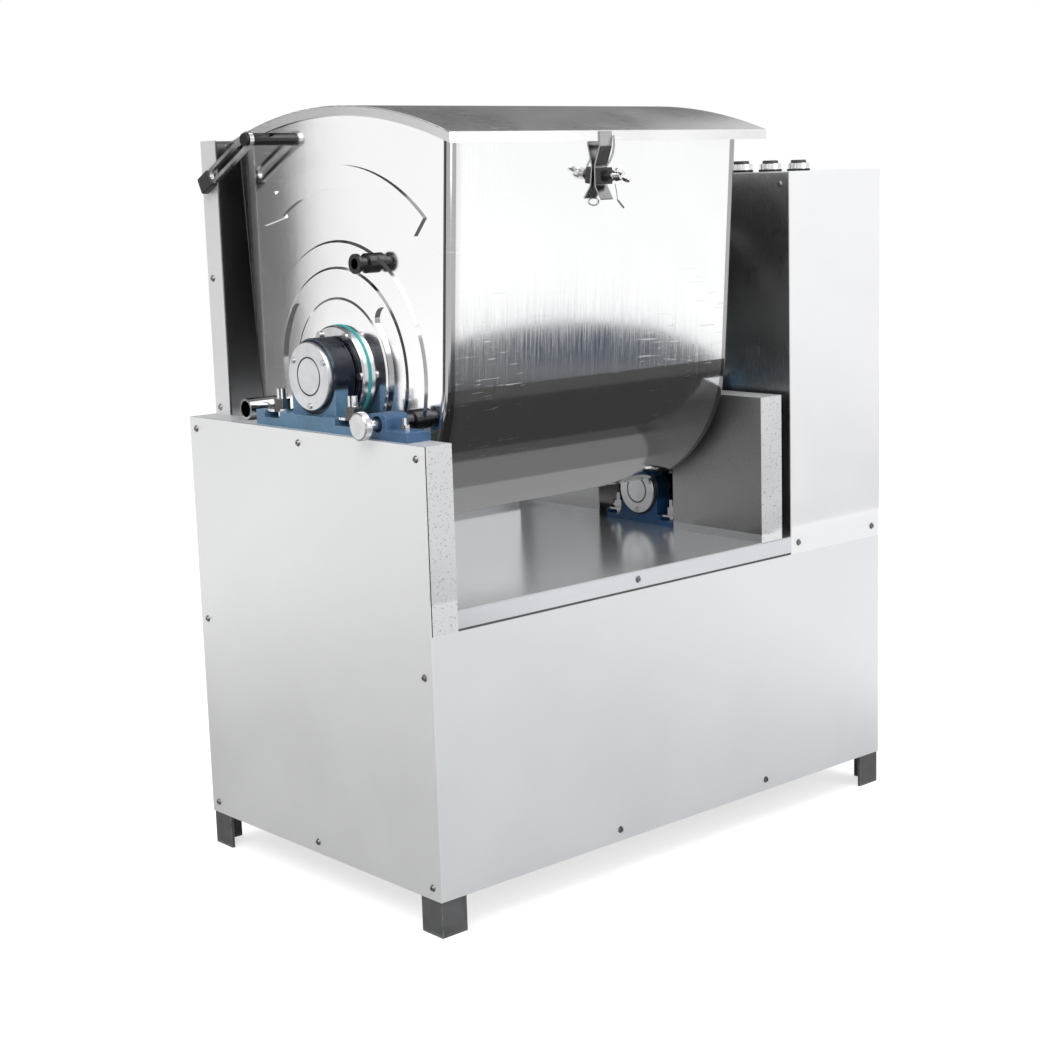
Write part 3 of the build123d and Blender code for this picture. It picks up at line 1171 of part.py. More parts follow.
belt_middle = (PULLEY_LEFT + PULLEY_RIGHT) / 2
parts["v_belts"] = group([belt(belt_middle + side * BELT_PITCH / 2) for side in (-1, 1)])

# Motor on its plate
motor_core = MOTOR_RADIUS - FIN_DEPTH
motor = turned_x([(MOTOR_LEFT, 0), (MOTOR_LEFT, MOTOR_RADIUS - 4), (MOTOR_LEFT + 4, MOTOR_RADIUS),
                  (MOTOR_LEFT + COWL, MOTOR_RADIUS), (MOTOR_LEFT + COWL, motor_core),
                  (MOTOR_RIGHT - SHIELD, motor_core), (MOTOR_RIGHT - SHIELD, MOTOR_RADIUS),
                  (MOTOR_RIGHT - SHIELD / 2, MOTOR_RADIUS), (MOTOR_RIGHT, MOTOR_RADIUS / 2),
                  (MOTOR_RIGHT, 0)])
fin = box(MOTOR_LEFT + COWL, MOTOR_RIGHT - SHIELD, motor_core - 2, MOTOR_RADIUS - 1, -1.5, 1.5)
for step in range(FINS):
    motor = motor + fin.rotate(Axis.X, 360 / FINS * step)
motor = motor - rod_x(0, 0, MOTOR_SHAFT_RADIUS + CLEAR, rotor_left - 2, MOTOR_RIGHT + 1)
foot_x = (MOTOR_LEFT + MOTOR_RIGHT) / 2
foot_half = MOTOR_LENGTH / 4
for side in (-1, 1):
    near, far = sorted((side * MOTOR_RADIUS * 0.35, side * MOTOR_RADIUS * 0.95))
    motor = motor + box(foot_x - foot_half, foot_x + foot_half, near, far,
                        -MOTOR_HEIGHT, -MOTOR_RADIUS * 0.45)
terminal_box = box(foot_x - foot_half, foot_x + foot_half / 2, -MOTOR_RADIUS / 2, MOTOR_RADIUS / 2,
                   motor_core - 2, MOTOR_RADIUS + TERMINAL_RISE)
parts["motor_body"] = Pos(0, AXIS_Y, MOTOR_Z) * (motor + terminal_box)
parts["motor_plate"] = box(MOTOR_LEFT + LEG_WALL, MOTOR_RIGHT - LEG, AXIS_Y - MOTOR_RADIUS - LEG,
                           AXIS_Y + MOTOR_RADIUS + LEG, MOTOR_PLATE_UNDER,
                           MOTOR_PLATE_UNDER + MOTOR_PLATE)


# Push buttons

def switch_body(x):
    """A switch under the top sheet, with its barrel and bezel through the sheet."""
    body = rod_z(x, BUTTON_Y, SWITCH_BARREL, COLUMN_HEIGHT - SWITCH_DEPTH, COLUMN_HEIGHT + 1)
    body = body + rod_z(x, BUTTON_Y, COLLAR_RADIUS, COLUMN_HEIGHT, COLUMN_HEIGHT + COLLAR_HEIGHT)
    bore_low = button_bottom - BUTTON_TRAVEL - 1
    return body - rod_z(x, BUTTON_Y, BUTTON_RADIUS + CLEAR, bore_low, BASE_DEPTH * 2)


button_bottom = COLUMN_HEIGHT - BUTTON_TRAVEL
button_top = COLUMN_HEIGHT + COLLAR_HEIGHT + BUTTON_STANDS
parts["switch_bodies"] = group([switch_body(x) for x in BUTTON_XS])
for name, x in zip(("start_button", "stop_button", "reverse_button"), BUTTON_XS):
    button = rod_z(x, BUTTON_Y, BUTTON_RADIUS, button_bottom, button_top)
    parts[name] = chamfer(button.edges().group_by(Axis.Z)[-1], 1)

# Cable gland in the rear sheet; no cord is fitted
gland = rod_y(GLAND_X, GLAND_Z, GLAND_RADIUS, RAIL_BACK, BASE_DEPTH + 1)
gland = gland + slab_y(Pos(GLAND_X, GLAND_Z) * RegularPolygon(GLAND_RADIUS * 1.5, 6),
                       BASE_DEPTH, BASE_DEPTH + GLAND_RADIUS / 2)
gland = gland + Pos(GLAND_X, BASE_DEPTH + GLAND_RADIUS, GLAND_Z) * Rot(-90, 0, 0) * Cone(
    GLAND_RADIUS, GLAND_RADIUS * 0.7, GLAND_RADIUS)
parts["cable_gland"] = gland - rod_y(GLAND_X, GLAND_Z, GLAND_BORE, 0, 2 * BASE_DEPTH)


# Sheet-metal screws, each from its head to the inner face of its sheet

def sheet_screw(spot, way):
    """A domed screw at a point of a sheet's outer face, its head pointing along way."""
    plane = Plane(origin=spot, z_dir=way)
    head = Pos(0, 0, SCREW_DOME / 2) * Cone(SCREW_HEAD, SCREW_HEAD * 0.6, SCREW_DOME)
    return plane * (head + Pos(0, 0, -SHEET / 2) * Cylinder(SCREW_SHANK, SHEET))


screws = [sheet_screw((0, y, z), (-1, 0, 0)) for y, z in LEFT_SPOTS]
screws += [sheet_screw((BASE_WIDTH, y, z), (1, 0, 0)) for y, z in RIGHT_SPOTS]
screws += [sheet_screw((PEDESTAL_WIDTH, y, z), (-1, 0, 0)) for y, z in GUARD_SPOTS]
screws += [sheet_screw((COLUMN_LEFT, *WALL_SPOT), (-1, 0, 0))]
screws += [sheet_screw((x, 0, z), (0, -1, 0)) for x, z in FRONT_SPOTS + COLUMN_SPOTS + [LIP_SPOT]]
screws += [sheet_screw((x, BASE_DEPTH, z), (0, 1, 0)) for x, z in BACK_SPOTS + COLUMN_BACK_SPOTS]
parts["panel_screws"] = group(screws)

# Put the origin on the floor under the middle of the machine, and write every part
whole = group(parts.values()).bounding_box()
shift = Pos(-(whole.min.X + whole.max.X) / 2, -(whole.min.Y + whole.max.Y) / 2, 0)
os.makedirs("parts", exist_ok=True)
for name, shape in parts.items():
    export_step(shift * shape, f"parts/{name}.step")
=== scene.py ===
from math import cos, pi, radians, sin

import bpy
from mathutils import Matrix, Vector


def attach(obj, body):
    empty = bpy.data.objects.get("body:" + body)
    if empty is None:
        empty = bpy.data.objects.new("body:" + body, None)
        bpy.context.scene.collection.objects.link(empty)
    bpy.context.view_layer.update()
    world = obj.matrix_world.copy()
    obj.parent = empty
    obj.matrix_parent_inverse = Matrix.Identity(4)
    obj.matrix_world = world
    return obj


# A tilting dough mixer in stainless sheet with blue castings. All lengths are in metres, in
# the frame of the CAD model: x to the machine's right, y to its back, z up from the floor.

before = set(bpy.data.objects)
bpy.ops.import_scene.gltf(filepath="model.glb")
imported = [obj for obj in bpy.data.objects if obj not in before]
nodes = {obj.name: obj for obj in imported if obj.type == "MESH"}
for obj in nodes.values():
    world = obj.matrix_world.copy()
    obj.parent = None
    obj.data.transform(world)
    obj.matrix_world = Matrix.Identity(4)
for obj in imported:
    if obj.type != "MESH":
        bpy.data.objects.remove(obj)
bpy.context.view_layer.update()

# Where the machine's own corner and shaft are in this frame
ORIGIN = Vector((-0.4012, -0.243769, 0.0))
SHAFT = ORIGIN + Vector((0.0, 0.238, 0.650))
PINION_SHAFT = ORIGIN + Vector((0.0, 0.238, 0.438))


def at(x, y, z):
    """A point in millimetres from the base's front left corner on the floor."""
    return ORIGIN + Vector((x, y, z)) / 1000


# Tones and sizes of the surface effects, with the painted shade by the bowl's seam and in the caps'
# grooves
FLOUR_ON_SHEET = (0.86, 0.84, 0.8)
FLOUR_ON_PAINT = (0.8, 0.78, 0.74)
FLOUR_ROUGHENS = 0.5
SCRATCH_TONE = (0.96, 0.96, 0.97)
SCRATCH_STRENGTH = 0.15
SCRATCH_STRETCH = (22.0, 22.0, 520.0)
SCRATCH_TURNS = ((0.35, 0.28, 0.0), (1.25, 1.0, 0.9), (2.4, 1.92, 1.8))
ZINC_DOTS = 420.0
ZINC_DOT_TONE = (0.25, 0.26, 0.27)
CASTING_LUMPS = 420.0
CASTING_WAVES = 70.0
WEAR_RADIUS = 0.0016
# The colour of the fold's seam line and of the painted shade beside it, and how far that shade reaches
SEAM_AND_SHADE_TONE = (0.12, 0.12, 0.125)
SEAM_WIDE = 0.0009
PAINTED_SEAM_SHADE_REACH = 0.022
# Painted shade for the caps' ring grooves
GROOVE_SHADE_TONE = (0.03, 0.03, 0.032)
GROOVE_HALF = 0.0009
SMOOTHEST_SHEET = 0.06
SMOOTHEST_TURNED = 0.05
PAINT_BORDER = 0.0006
FACING_BLEND = 0.1
HEIGHT_BLEND = 5.0
SHEET_SMUDGES = 5.0
ENAMEL_SMUDGES = 30.0
TURNED_SMUDGES = 40.0
PLAIN_SMUDGES = 25.0
BRUSHING_DEPTH = 0.0004
TOOL_LINE_DEPTH = 0.0003
TOOL_LINE_RELIEF = 0.1
TOOL_LINE_SCALE = 1800.0
ROUND_SCALE = 40.0
CASTING_DEPTH = 0.0005
CASTING_RELIEF = 0.35
ENAMEL_FLOUR = 0.08


# Surface effects that several finishes share

def new_group(name, output, **numbers):
    """A shader node group that takes a coordinate and some numbers and puts out one value."""
    group = bpy.data.node_groups.new(name, "ShaderNodeTree")
    sockets = group.interface
    sockets.new_socket(name="Vector", in_out="INPUT", socket_type="NodeSocketVector")
    for label, value in numbers.items():
        socket = sockets.new_socket(name=label, in_out="INPUT", socket_type="NodeSocketFloat")
        socket.default_value = value
    sockets.new_socket(name=output, in_out="OUTPUT", socket_type="NodeSocketFloat")
    given = group.nodes.new("NodeGroupInput").outputs
    result = group.nodes.new("NodeGroupOutput").inputs
    return group, given, result


def add(tree, kind, **settings):
    """A node with its properties set by name and its unlinked inputs by values_NAME."""
    node = tree.nodes.new(kind)
    for key, value in settings.items():
        if key.startswith("values_"):
            label = key.removeprefix("values_").replace("_", " ")
            node.inputs[label].default_value = value
        else:
            setattr(node, key, value)
    return node


def calculate(tree, operation, first, second=None):
    """A Math node whose inputs are numbers or sockets; gives its output socket."""
    node = add(tree, "ShaderNodeMath", operation=operation)
    for index, value in enumerate((first, second)):
        if value is None:
            continue
        if isinstance(value, (int, float)):
            node.inputs[index].default_value = value
        else:
            tree.links.new(value, node.inputs[index])
    return node.outputs[0]


def spread(tree, value, low, high, out_low=0.0, out_high=1.0):
    """Stretch the part of a value between low and high over out_low to out_high, clamped."""
    node = add(tree, "ShaderNodeMapRange", values_From_Min=low, values_From_Max=high,
               values_To_Min=out_low, values_To_Max=out_high)
    tree.links.new(value, node.inputs["Value"])
    return node.outputs["Result"]


def mix_colour(tree, factor, first, second):
    """A colour between two colours, which are tuples or sockets."""
    node = add(tree, "ShaderNodeMix", data_type="RGBA")
    tree.links.new(factor, node.inputs["Factor"])
    for label, value in (("A", first), ("B", second)):
        socket = [s for s in node.inputs if s.name == label and s.type == "RGBA"][0]
        if isinstance(value, tuple):
            socket.default_value = (*value, 1.0)
        else:
            tree.links.new(value, socket)
    return [s for s in node.outputs if s.type == "RGBA"][0]


def noise(tree, vector, scale, detail, roughness=0.5):
    """A noise texture's value at a coordinate."""
    node = add(tree, "ShaderNodeTexNoise", values_Scale=scale, values_Detail=detail,
               values_Roughness=roughness)
    tree.links.new(vector, node.inputs["Vector"])
    return node.outputs["Fac"]


def stretched(tree, vector, scale, turn=(0.0, 0.0, 0.0)):
    """A coordinate turned and then scaled unevenly, for lines and streaks."""
    node = add(tree, "ShaderNodeMapping", values_Scale=scale, values_Rotation=turn)
    tree.links.new(vector, node.inputs["Vector"])
    return node.outputs["Vector"]


def along_axis(tree, vector, axis):
    """One of a vector's three parts."""
    parts = add(tree, "ShaderNodeSeparateXYZ")
    tree.links.new(vector, parts.inputs[0])
    return parts.outputs[axis]


def make_brush_lines():
    """Fine lines from a brushing wheel, long in one direction, as a value about 0.5."""
    group, given, result = new_group("brush_lines", "Lines")
    coarse = noise(group, given["Vector"], 60.0, 3.0, 0.7)
    fine = noise(group, given["Vector"], 240.0, 2.0, 0.6)
    both = calculate(group, "ADD", coarse, fine)
    group.links.new(calculate(group, "MULTIPLY", both, 0.5), result["Lines"])
    return group


def make_smudges():
    """Soft uneven patches, as on handled or wiped metal, from 0 to 1."""
    group, given, result = new_group("smudges", "Patches", Size=6.0)
    node = add(group, "ShaderNodeTexNoise", values_Detail=4.0, values_Roughness=0.55,
               values_Distortion=0.6)
    group.links.new(given["Vector"], node.inputs["Vector"])
    group.links.new(given["Size"], node.inputs["Scale"])
    group.links.new(spread(group, node.outputs["Fac"], 0.35, 0.65), result["Patches"])
    return group


def make_scratches():
    """Thin stray scratches in three directions, as a mask from 0 to 1."""
    group, given, result = new_group("scratches", "Marks")
    total = None
    for index, turn in enumerate(SCRATCH_TURNS):
        lines = stretched(group, given["Vector"], SCRATCH_STRETCH, turn)
        mark = spread(group, noise(group, lines, 1.0, 1.0, 0.4), 0.70, 0.74)
        patch = spread(group, noise(group, given["Vector"], 5.0 + index, 1.0), 0.5, 0.62)
        mark = calculate(group, "MULTIPLY", mark, patch)
        total = mark if total is None else calculate(group, "MAXIMUM", total, mark)
    group.links.new(total, result["Marks"])
    return group


def make_settled_dust():
    """Flour dust that lies on faces that point up, as a mask from 0 to 1."""
    group, given, result = new_group("settled_dust", "Dust", Amount=0.3)
    geometry = add(group, "ShaderNodeNewGeometry")
    up = spread(group, along_axis(group, geometry.outputs["Normal"], "Z"), 0.5, 1.0)
    patches = spread(group, noise(group, given["Vector"], 22.0, 5.0, 0.7), 0.42, 0.75)
    lying = calculate(group, "MULTIPLY", up, patches)
    group.links.new(calculate(group, "MULTIPLY", lying, given["Amount"]), result["Dust"])
    return group


def make_casting_grain():
    """The small lumps of a sand casting under paint, as a height."""
    group, given, result = new_group("casting_grain", "Height")
    lumps = noise(group, given["Vector"], CASTING_LUMPS, 3.0, 0.6)
    waves = noise(group, given["Vector"], CASTING_WAVES, 2.0)
    height = calculate(group, "ADD", calculate(group, "MULTIPLY", lumps, 0.5), waves)
    group.links.new(height, result["Height"])
    return group


def make_edge_wear():
    """Where a surface bends sharply, as a mask from 0 to 1."""
    group, given, result = new_group("edge_wear", "Worn")
    rounded = add(group, "ShaderNodeBevel", samples=4, values_Radius=WEAR_RADIUS)
    geometry = add(group, "ShaderNodeNewGeometry")
    alike = add(group, "ShaderNodeVectorMath", operation="DOT_PRODUCT")
    group.links.new(rounded.outputs["Normal"], alike.inputs[0])
    group.links.new(geometry.outputs["Normal"], alike.inputs[1])
    edge = spread(group, alike.outputs["Value"], 0.97, 0.86)
    patches = spread(group, noise(group, given["Vector"], 90.0, 3.0, 0.6), 0.38, 0.62)
    group.links.new(calculate(group, "MULTIPLY", edge, patches), result["Worn"])
    return group


BRUSH_LINES = make_brush_lines()
SMUDGES = make_smudges()
SCRATCHES = make_scratches()
DUST = make_settled_dust()
CASTING = make_casting_grain()
EDGE_WEAR = make_edge_wear()


class Finish:
    """A material with its Principled shader, and the object coordinate that it starts from."""

    def __init__(self, name, colour, metallic, roughness, **constants):
        self.material = bpy.data.materials.new(name)
        self.material.use_nodes = True
        self.tree = self.material.node_tree
        self.shader = self.tree.nodes["Principled BSDF"]
        self.shader.inputs["Base Color"].default_value = (*colour, 1.0)
        self.shader.inputs["Metallic"].default_value = metallic
        self.shader.inputs["Roughness"].default_value = roughness
        for label, value in constants.items():
            self.shader.inputs[label.replace("_", " ")].default_value = value
        self.place = add(self.tree, "ShaderNodeTexCoord").outputs["Object"]

    def effect(self, group, output, vector=None, **values):
        """Place a shared effect; gives one of its outputs."""
        node = add(self.tree, "ShaderNodeGroup", node_tree=group)
        self.tree.links.new(vector or self.place, node.inputs["Vector"])
        for label, value in values.items():
            node.inputs[label].default_value = value
        return node.outputs[output]

    def link(self, socket, label):
        """Feed one of the shader's inputs."""
        self.tree.links.new(socket, self.shader.inputs[label])

    def facing(self, axis, sharp):
        """A mask of the faces that look along an axis: X, Y or Z either way, -Y to the front."""
        normal = add(self.tree, "ShaderNodeNewGeometry").outputs["Normal"]
        if axis == "-Y":
            return spread(self.tree, along_axis(self.tree, normal, "Y"), FACING_BLEND - sharp, -sharp)
        part = calculate(self.tree, "ABSOLUTE", along_axis(self.tree, normal, axis))
        return spread(self.tree, part, sharp - FACING_BLEND, sharp)

    def bump(self, height, strength, distance):
        """A relief from a height of 0 to 1, as deep as the distance in metres."""
        node = add(self.tree, "ShaderNodeBump", values_Strength=strength, values_Distance=distance)
        self.tree.links.new(height, node.inputs["Height"])
        self.link(node.outputs["Normal"], "Normal")


def sheet_finish(name, colour, roughness, lines, line_sheen, patchy, marks=0.0, dust=0.0,
                 metallic=1.0, relief=0.12, side=None, seam_and_shade=None, speckle=0.0):
    """Stainless sheet: brushing lines, uneven sheen, stray scratches and a little flour.

    lines is how the brushing lines are stretched; line_sheen and patchy are how much the lines
    and the smudges change the roughness, and relief how strongly the lines stand out. side
    paints light and shade by facing: an axis, a limit, a colour and a metallic value for the
    faces that look along the axis, above a height in millimetres if one is given. speckle
    darkens the small dots of a zinc coat. seam_and_shade is where a folded edge ends, as an x
    in millimetres, and the painted shade beside it.
    """
    finish = Finish(name, colour, metallic, roughness)
    tree = finish.tree
    brushed = finish.effect(BRUSH_LINES, "Lines", stretched(tree, finish.place, lines))
    patches = finish.effect(SMUDGES, "Patches", Size=SHEET_SMUDGES)
    sheen = spread(tree, patches, 0.0, 1.0, roughness - patchy, roughness + patchy)
    lined = spread(tree, brushed, 0.3, 0.7, -line_sheen, line_sheen)
    sheen = calculate(tree, "ADD", sheen, lined)
    tone = mix_colour(tree, patches, tuple(c * 0.965 for c in colour), colour)
    # Faces that look along the axis get another colour: painted light and shade by facing
    if side:
        axis, sharp, painted_facing_colour, side_metallic, *above = side
        painted_facing_mask = finish.facing(axis, sharp)
        for height in above:
            raised = spread(tree, along_axis(tree, finish.place, "Z"),
                            (height - HEIGHT_BLEND) / 1000, (height + HEIGHT_BLEND) / 1000)
            painted_facing_mask = calculate(tree, "MULTIPLY", painted_facing_mask, raised)
        tone = mix_colour(tree, painted_facing_mask, tone, painted_facing_colour)
        finish.link(spread(tree, painted_facing_mask, 0.0, 1.0, metallic, side_metallic), "Metallic")
    if speckle:
        dots = spread(tree, noise(tree, finish.place, ZINC_DOTS, 1.0), 0.64, 0.7, 0.0, speckle)
        tone = mix_colour(tree, dots, tone, ZINC_DOT_TONE)
    if seam_and_shade:
        tone = mix_colour(tree, seam_and_painted_shade(tree, finish.place, *seam_and_shade), tone, SEAM_AND_SHADE_TONE)
    if marks:
        scratched = finish.effect(SCRATCHES, "Marks")
        sheen = calculate(tree, "ADD", sheen, calculate(tree, "MULTIPLY", scratched, marks))
        lighter = calculate(tree, "MULTIPLY", scratched, SCRATCH_STRENGTH)
        tone = mix_colour(tree, lighter, tone, SCRATCH_TONE)
    if dust:
        settled = finish.effect(DUST, "Dust", Amount=dust)
        powdery = calculate(tree, "MULTIPLY", settled, FLOUR_ROUGHENS)
        sheen = calculate(tree, "ADD", sheen, powdery)
        tone = mix_colour(tree, settled, tone, FLOUR_ON_SHEET)
    finish.link(calculate(tree, "MAXIMUM", sheen, SMOOTHEST_SHEET), "Roughness")
    finish.link(tone, "Base Color")
    finish.bump(brushed, relief, BRUSHING_DEPTH)
    return finish


def enamel_finish(name, colour, worn_colour, roughness, dark=None):
    """Enamel on a casting, worn at its edges; dark is a colour, a shaft and a reach round it, for painted
    shade on the barrel within that reach.
    """
    finish = Finish(name, colour, 0.0, roughness, Specular_IOR_Level=0.3)
    tree = finish.tree
    grain = finish.effect(CASTING, "Height")
    patches = finish.effect(SMUDGES, "Patches", Size=ENAMEL_SMUDGES)
    tone = mix_colour(tree, patches, tuple(c * 0.75 for c in colour), colour)
    if dark:
        barrel_shade_colour, shaft, reach = dark
        tone = mix_colour(tree, near_shaft(tree, finish.place, shaft, reach), tone, barrel_shade_colour)
    tone = mix_colour(tree, finish.effect(EDGE_WEAR, "Worn"), tone, worn_colour)
    tone = mix_colour(tree, finish.effect(DUST, "Dust", Amount=ENAMEL_FLOUR), tone,
                      FLOUR_ON_PAINT)
    finish.link(tone, "Base Color")
    finish.link(spread(tree, patches, 0.0, 1.0, roughness - 0.06, roughness + 0.1), "Roughness")
    finish.bump(grain, CASTING_RELIEF, CASTING_DEPTH)
    return finish


def near_shaft(tree, place, centre, reach):
    """A mask that is 1 within a reach of a line along x through a centre."""
    across = add(tree, "ShaderNodeVectorMath", operation="MULTIPLY")
    tree.links.new(place, across.inputs[0])
    across.inputs[1].default_value = (0.0, 1.0, 1.0)
    away = add(tree, "ShaderNodeVectorMath", operation="DISTANCE")
    tree.links.new(across.outputs[0], away.inputs[0])
    away.inputs[1].default_value = (0.0, centre.y, centre.z)
    return spread(tree, away.outputs["Value"], reach + PAINT_BORDER, reach - PAINT_BORDER)


def seam_and_painted_shade(tree, place, x, shade):
    """A mask for the dark line where the end plate's fold meets the wrap, and the soft painted shade
    beside it.
    """
    here = along_axis(tree, place, "X")
    middle = ORIGIN.x + x / 1000
    away = calculate(tree, "ABSOLUTE", calculate(tree, "SUBTRACT", here, middle))
    painted_shade = spread(tree, here, middle, middle + PAINTED_SEAM_SHADE_REACH, shade, 0.0)
    line = spread(tree, away, SEAM_WIDE, SEAM_WIDE * 0.6, 0.0, 0.9)
    return calculate(tree, "MAXIMUM", painted_shade, line)


def turned_finish(name, colour, roughness, axis=0, grooves=()):
    """Turned metal, with the lines that a lathe tool leaves across an axis of the frame.

    grooves are ring grooves painted as dark lines of shade, each a centre and a radius in the plane across
    x.
    """
    finish = Finish(name, colour, 1.0, roughness)
    tree = finish.tree
    scale = [ROUND_SCALE, ROUND_SCALE, ROUND_SCALE]
    scale[axis] = TOOL_LINE_SCALE
    tool_lines = noise(tree, stretched(tree, finish.place, tuple(scale)), 1.0, 2.0)
    patches = finish.effect(SMUDGES, "Patches", Size=TURNED_SMUDGES)
    sheen = calculate(tree, "ADD", spread(tree, tool_lines, 0.3, 0.7, -0.05, 0.07), roughness)
    finish.link(calculate(tree, "MAXIMUM", sheen, SMOOTHEST_TURNED), "Roughness")
    tone = mix_colour(tree, patches, tuple(c * 0.86 for c in colour), colour)
    for centre, radius in grooves:
        inner = near_shaft(tree, finish.place, centre, radius - GROOVE_HALF)
        outer = near_shaft(tree, finish.place, centre, radius + GROOVE_HALF)
        tone = mix_colour(tree, calculate(tree, "SUBTRACT", outer, inner), tone, GROOVE_SHADE_TONE)
    finish.link(tone, "Base Color")
    finish.bump(tool_lines, TOOL_LINE_RELIEF, TOOL_LINE_DEPTH)
    return finish


def plain_finish(name, colour, roughness, metallic=0.0, **constants):
    """Plastic, rubber or paint with slightly uneven gloss."""
    finish = Finish(name, colour, metallic, roughness, **constants)
    tree = finish.tree
    patches = finish.effect(SMUDGES, "Patches", Size=PLAIN_SMUDGES)
    finish.link(spread(tree, patches, 0.0, 1.0, roughness - 0.05, roughness + 0.08), "Roughness")
    finish.link(mix_colour(tree, patches, tuple(c * 0.88 for c in colour), colour), "Base Color")
    return finish


# How the brushing lines are stretched
ACROSS = (0.4, 30.0, 30.0)
UPRIGHT = (30.0, 30.0, 0.4)
ALONG_DEPTH = (30.0, 0.4, 30.0)
POLISHING_STREAKS = (8.0, 0.1, 0.1)

# Navy painted shade on the bearing housings' barrels, the barrels' radii, and the caps' ring grooves
SHADED_BARREL_NAVY = (0.004, 0.009, 0.022)
MAIN_BARREL = 0.0472
PINION_BARREL = 0.0362
CAP_GROOVES = ((SHAFT, 0.0231), (PINION_SHAFT, 0.0181))

# The wrap has a soft painted shade beside the end plates' fold, as well as the seam line
bowl_wrap = sheet_finish("bowl_wrap", (0.93, 0.935, 0.94), 0.1, POLISHING_STREAKS, 0.09, 0.015,
                         marks=0.2, relief=0.012, seam_and_shade=(73, 0.5))
# The end plates are dark grey with their faces that look along x painted bright, so their relief shows
# painted light and shade
bowl_end = sheet_finish("bowl_end", (0.4, 0.4, 0.405), 0.1, UPRIGHT, 0.03, 0.02, marks=0.05,
                        relief=0.012, side=("X", 0.92, (0.94, 0.94, 0.94), 1.0))
# The lid's faces that look up or down are painted darker, a painted shade on its top
lid_sheet = sheet_finish("lid_sheet", (0.8, 0.8, 0.81), 0.3, ACROSS, 0.05, 0.05, marks=0.1,
                         dust=0.03, side=("Z", 0.6, (0.5, 0.5, 0.505), 1.0))
side_panel = sheet_finish("side_panel", (0.92, 0.925, 0.93), 0.42, ALONG_DEPTH, 0.03, 0.04,
                          metallic=0.5)
front_panel = sheet_finish("front_panel", (0.82, 0.84, 0.87), 0.42, ACROSS, 0.03, 0.04,
                           metallic=0.35)
column_panel = sheet_finish("column_panel", (0.96, 0.965, 0.98), 0.5, UPRIGHT, 0.03, 0.04,
                            metallic=0.2)
# The column's left wall is a darker copy of the column sheet, as painted shade beside the bowl
column_side_shaded = sheet_finish("column_side_shaded", (0.5, 0.5, 0.5), 0.3, UPRIGHT, 0.03, 0.04)
rear_panel = sheet_finish("rear_panel", (0.93, 0.935, 0.94), 0.45, UPRIGHT, 0.03, 0.04,
                          metallic=0.1)
strap_metal = sheet_finish("strap_metal", (0.4, 0.4, 0.405), 0.28, UPRIGHT, 0.03, 0.04)
# The deck's faces that look to the front are painted darker, as painted shade
deck_sheet = sheet_finish("deck_sheet", (0.9, 0.92, 0.94), 0.17, ACROSS, 0.03, 0.03, marks=0.03,
                          dust=0.03, metallic=0.75, relief=0.03,
                          side=("-Y", 0.7, (0.62, 0.64, 0.67), 0.3))
# The pedestals' faces that look along x are painted darker, as painted shade; the dots are the zinc coat's
# own
galvanised = sheet_finish("galvanised", (0.78, 0.79, 0.8), 0.4, UPRIGHT, 0.03, 0.1, dust=0.1,
                          metallic=0.3, side=("X", 0.7, (0.5, 0.5, 0.505), 1.0), speckle=0.6)
# The guard's front faces above 585 mm are painted darker, as painted shade behind the bowl
guard_sheet = sheet_finish("guard_sheet", (0.85, 0.85, 0.86), 0.36, ACROSS, 0.04, 0.05,
                           dust=0.05, metallic=0.3,
                           side=("-Y", 0.7, (0.3, 0.3, 0.305), 1.0, 585))
frame_paint = enamel_finish("frame_paint", (0.13, 0.132, 0.135), (0.4, 0.4, 0.4), 0.45)
# The housings' barrels are painted navy round their shafts, as painted shade
block_enamel = enamel_finish("block_enamel", (0.13, 0.26, 0.4), (0.3, 0.45, 0.58), 0.3,
                             dark=(SHADED_BARREL_NAVY, SHAFT, MAIN_BARREL))
low_enamel = enamel_finish("low_enamel", (0.02, 0.1, 0.25), (0.15, 0.28, 0.42), 0.3,
                           dark=(SHADED_BARREL_NAVY, PINION_SHAFT, PINION_BARREL))
lock_enamel = enamel_finish("lock_enamel", (0.06, 0.14, 0.27), (0.22, 0.38, 0.55), 0.3)
motor_enamel = enamel_finish("motor_enamel", (0.1, 0.2, 0.3), (0.3, 0.35, 0.4), 0.35)
cap_metal = turned_finish("cap_metal", (0.8, 0.81, 0.82), 0.34, grooves=CAP_GROOVES)
bright_steel = turned_finish("bright_steel", (0.82, 0.82, 0.83), 0.14)
knob_metal = turned_finish("knob_metal", (0.74, 0.74, 0.75), 0.3)
hub_steel = turned_finish("hub_steel", (0.75, 0.75, 0.76), 0.2)
zinc_plate = turned_finish("zinc_plate", (0.62, 0.62, 0.63), 0.3, axis=2)
screw_metal = turned_finish("screw_metal", (0.3, 0.3, 0.31), 0.34, axis=2)
dark_steel = turned_finish("dark_steel", (0.06, 0.06, 0.062), 0.25)
grey_iron = turned_finish("grey_iron", (0.32, 0.32, 0.33), 0.4)
black_plastic = plain_finish("black_plastic", (0.02, 0.02, 0.022), 0.4)
black_rubber = plain_finish("black_rubber", (0.018, 0.018, 0.018), 0.7)
teal_ring = plain_finish("teal_ring", (0.05, 0.52, 0.54), 0.35)
button_cap = plain_finish("button_cap", (0.03, 0.03, 0.032), 0.3, Coat_Weight=0.3)
chain_metal = plain_finish("chain_metal", (0.25, 0.25, 0.26), 0.35, 1.0)
# Near-black paint for the shade inside the screws' cross recesses
recess_shade_paint = plain_finish("recess_shade_paint", (0.03, 0.03, 0.03), 0.6)

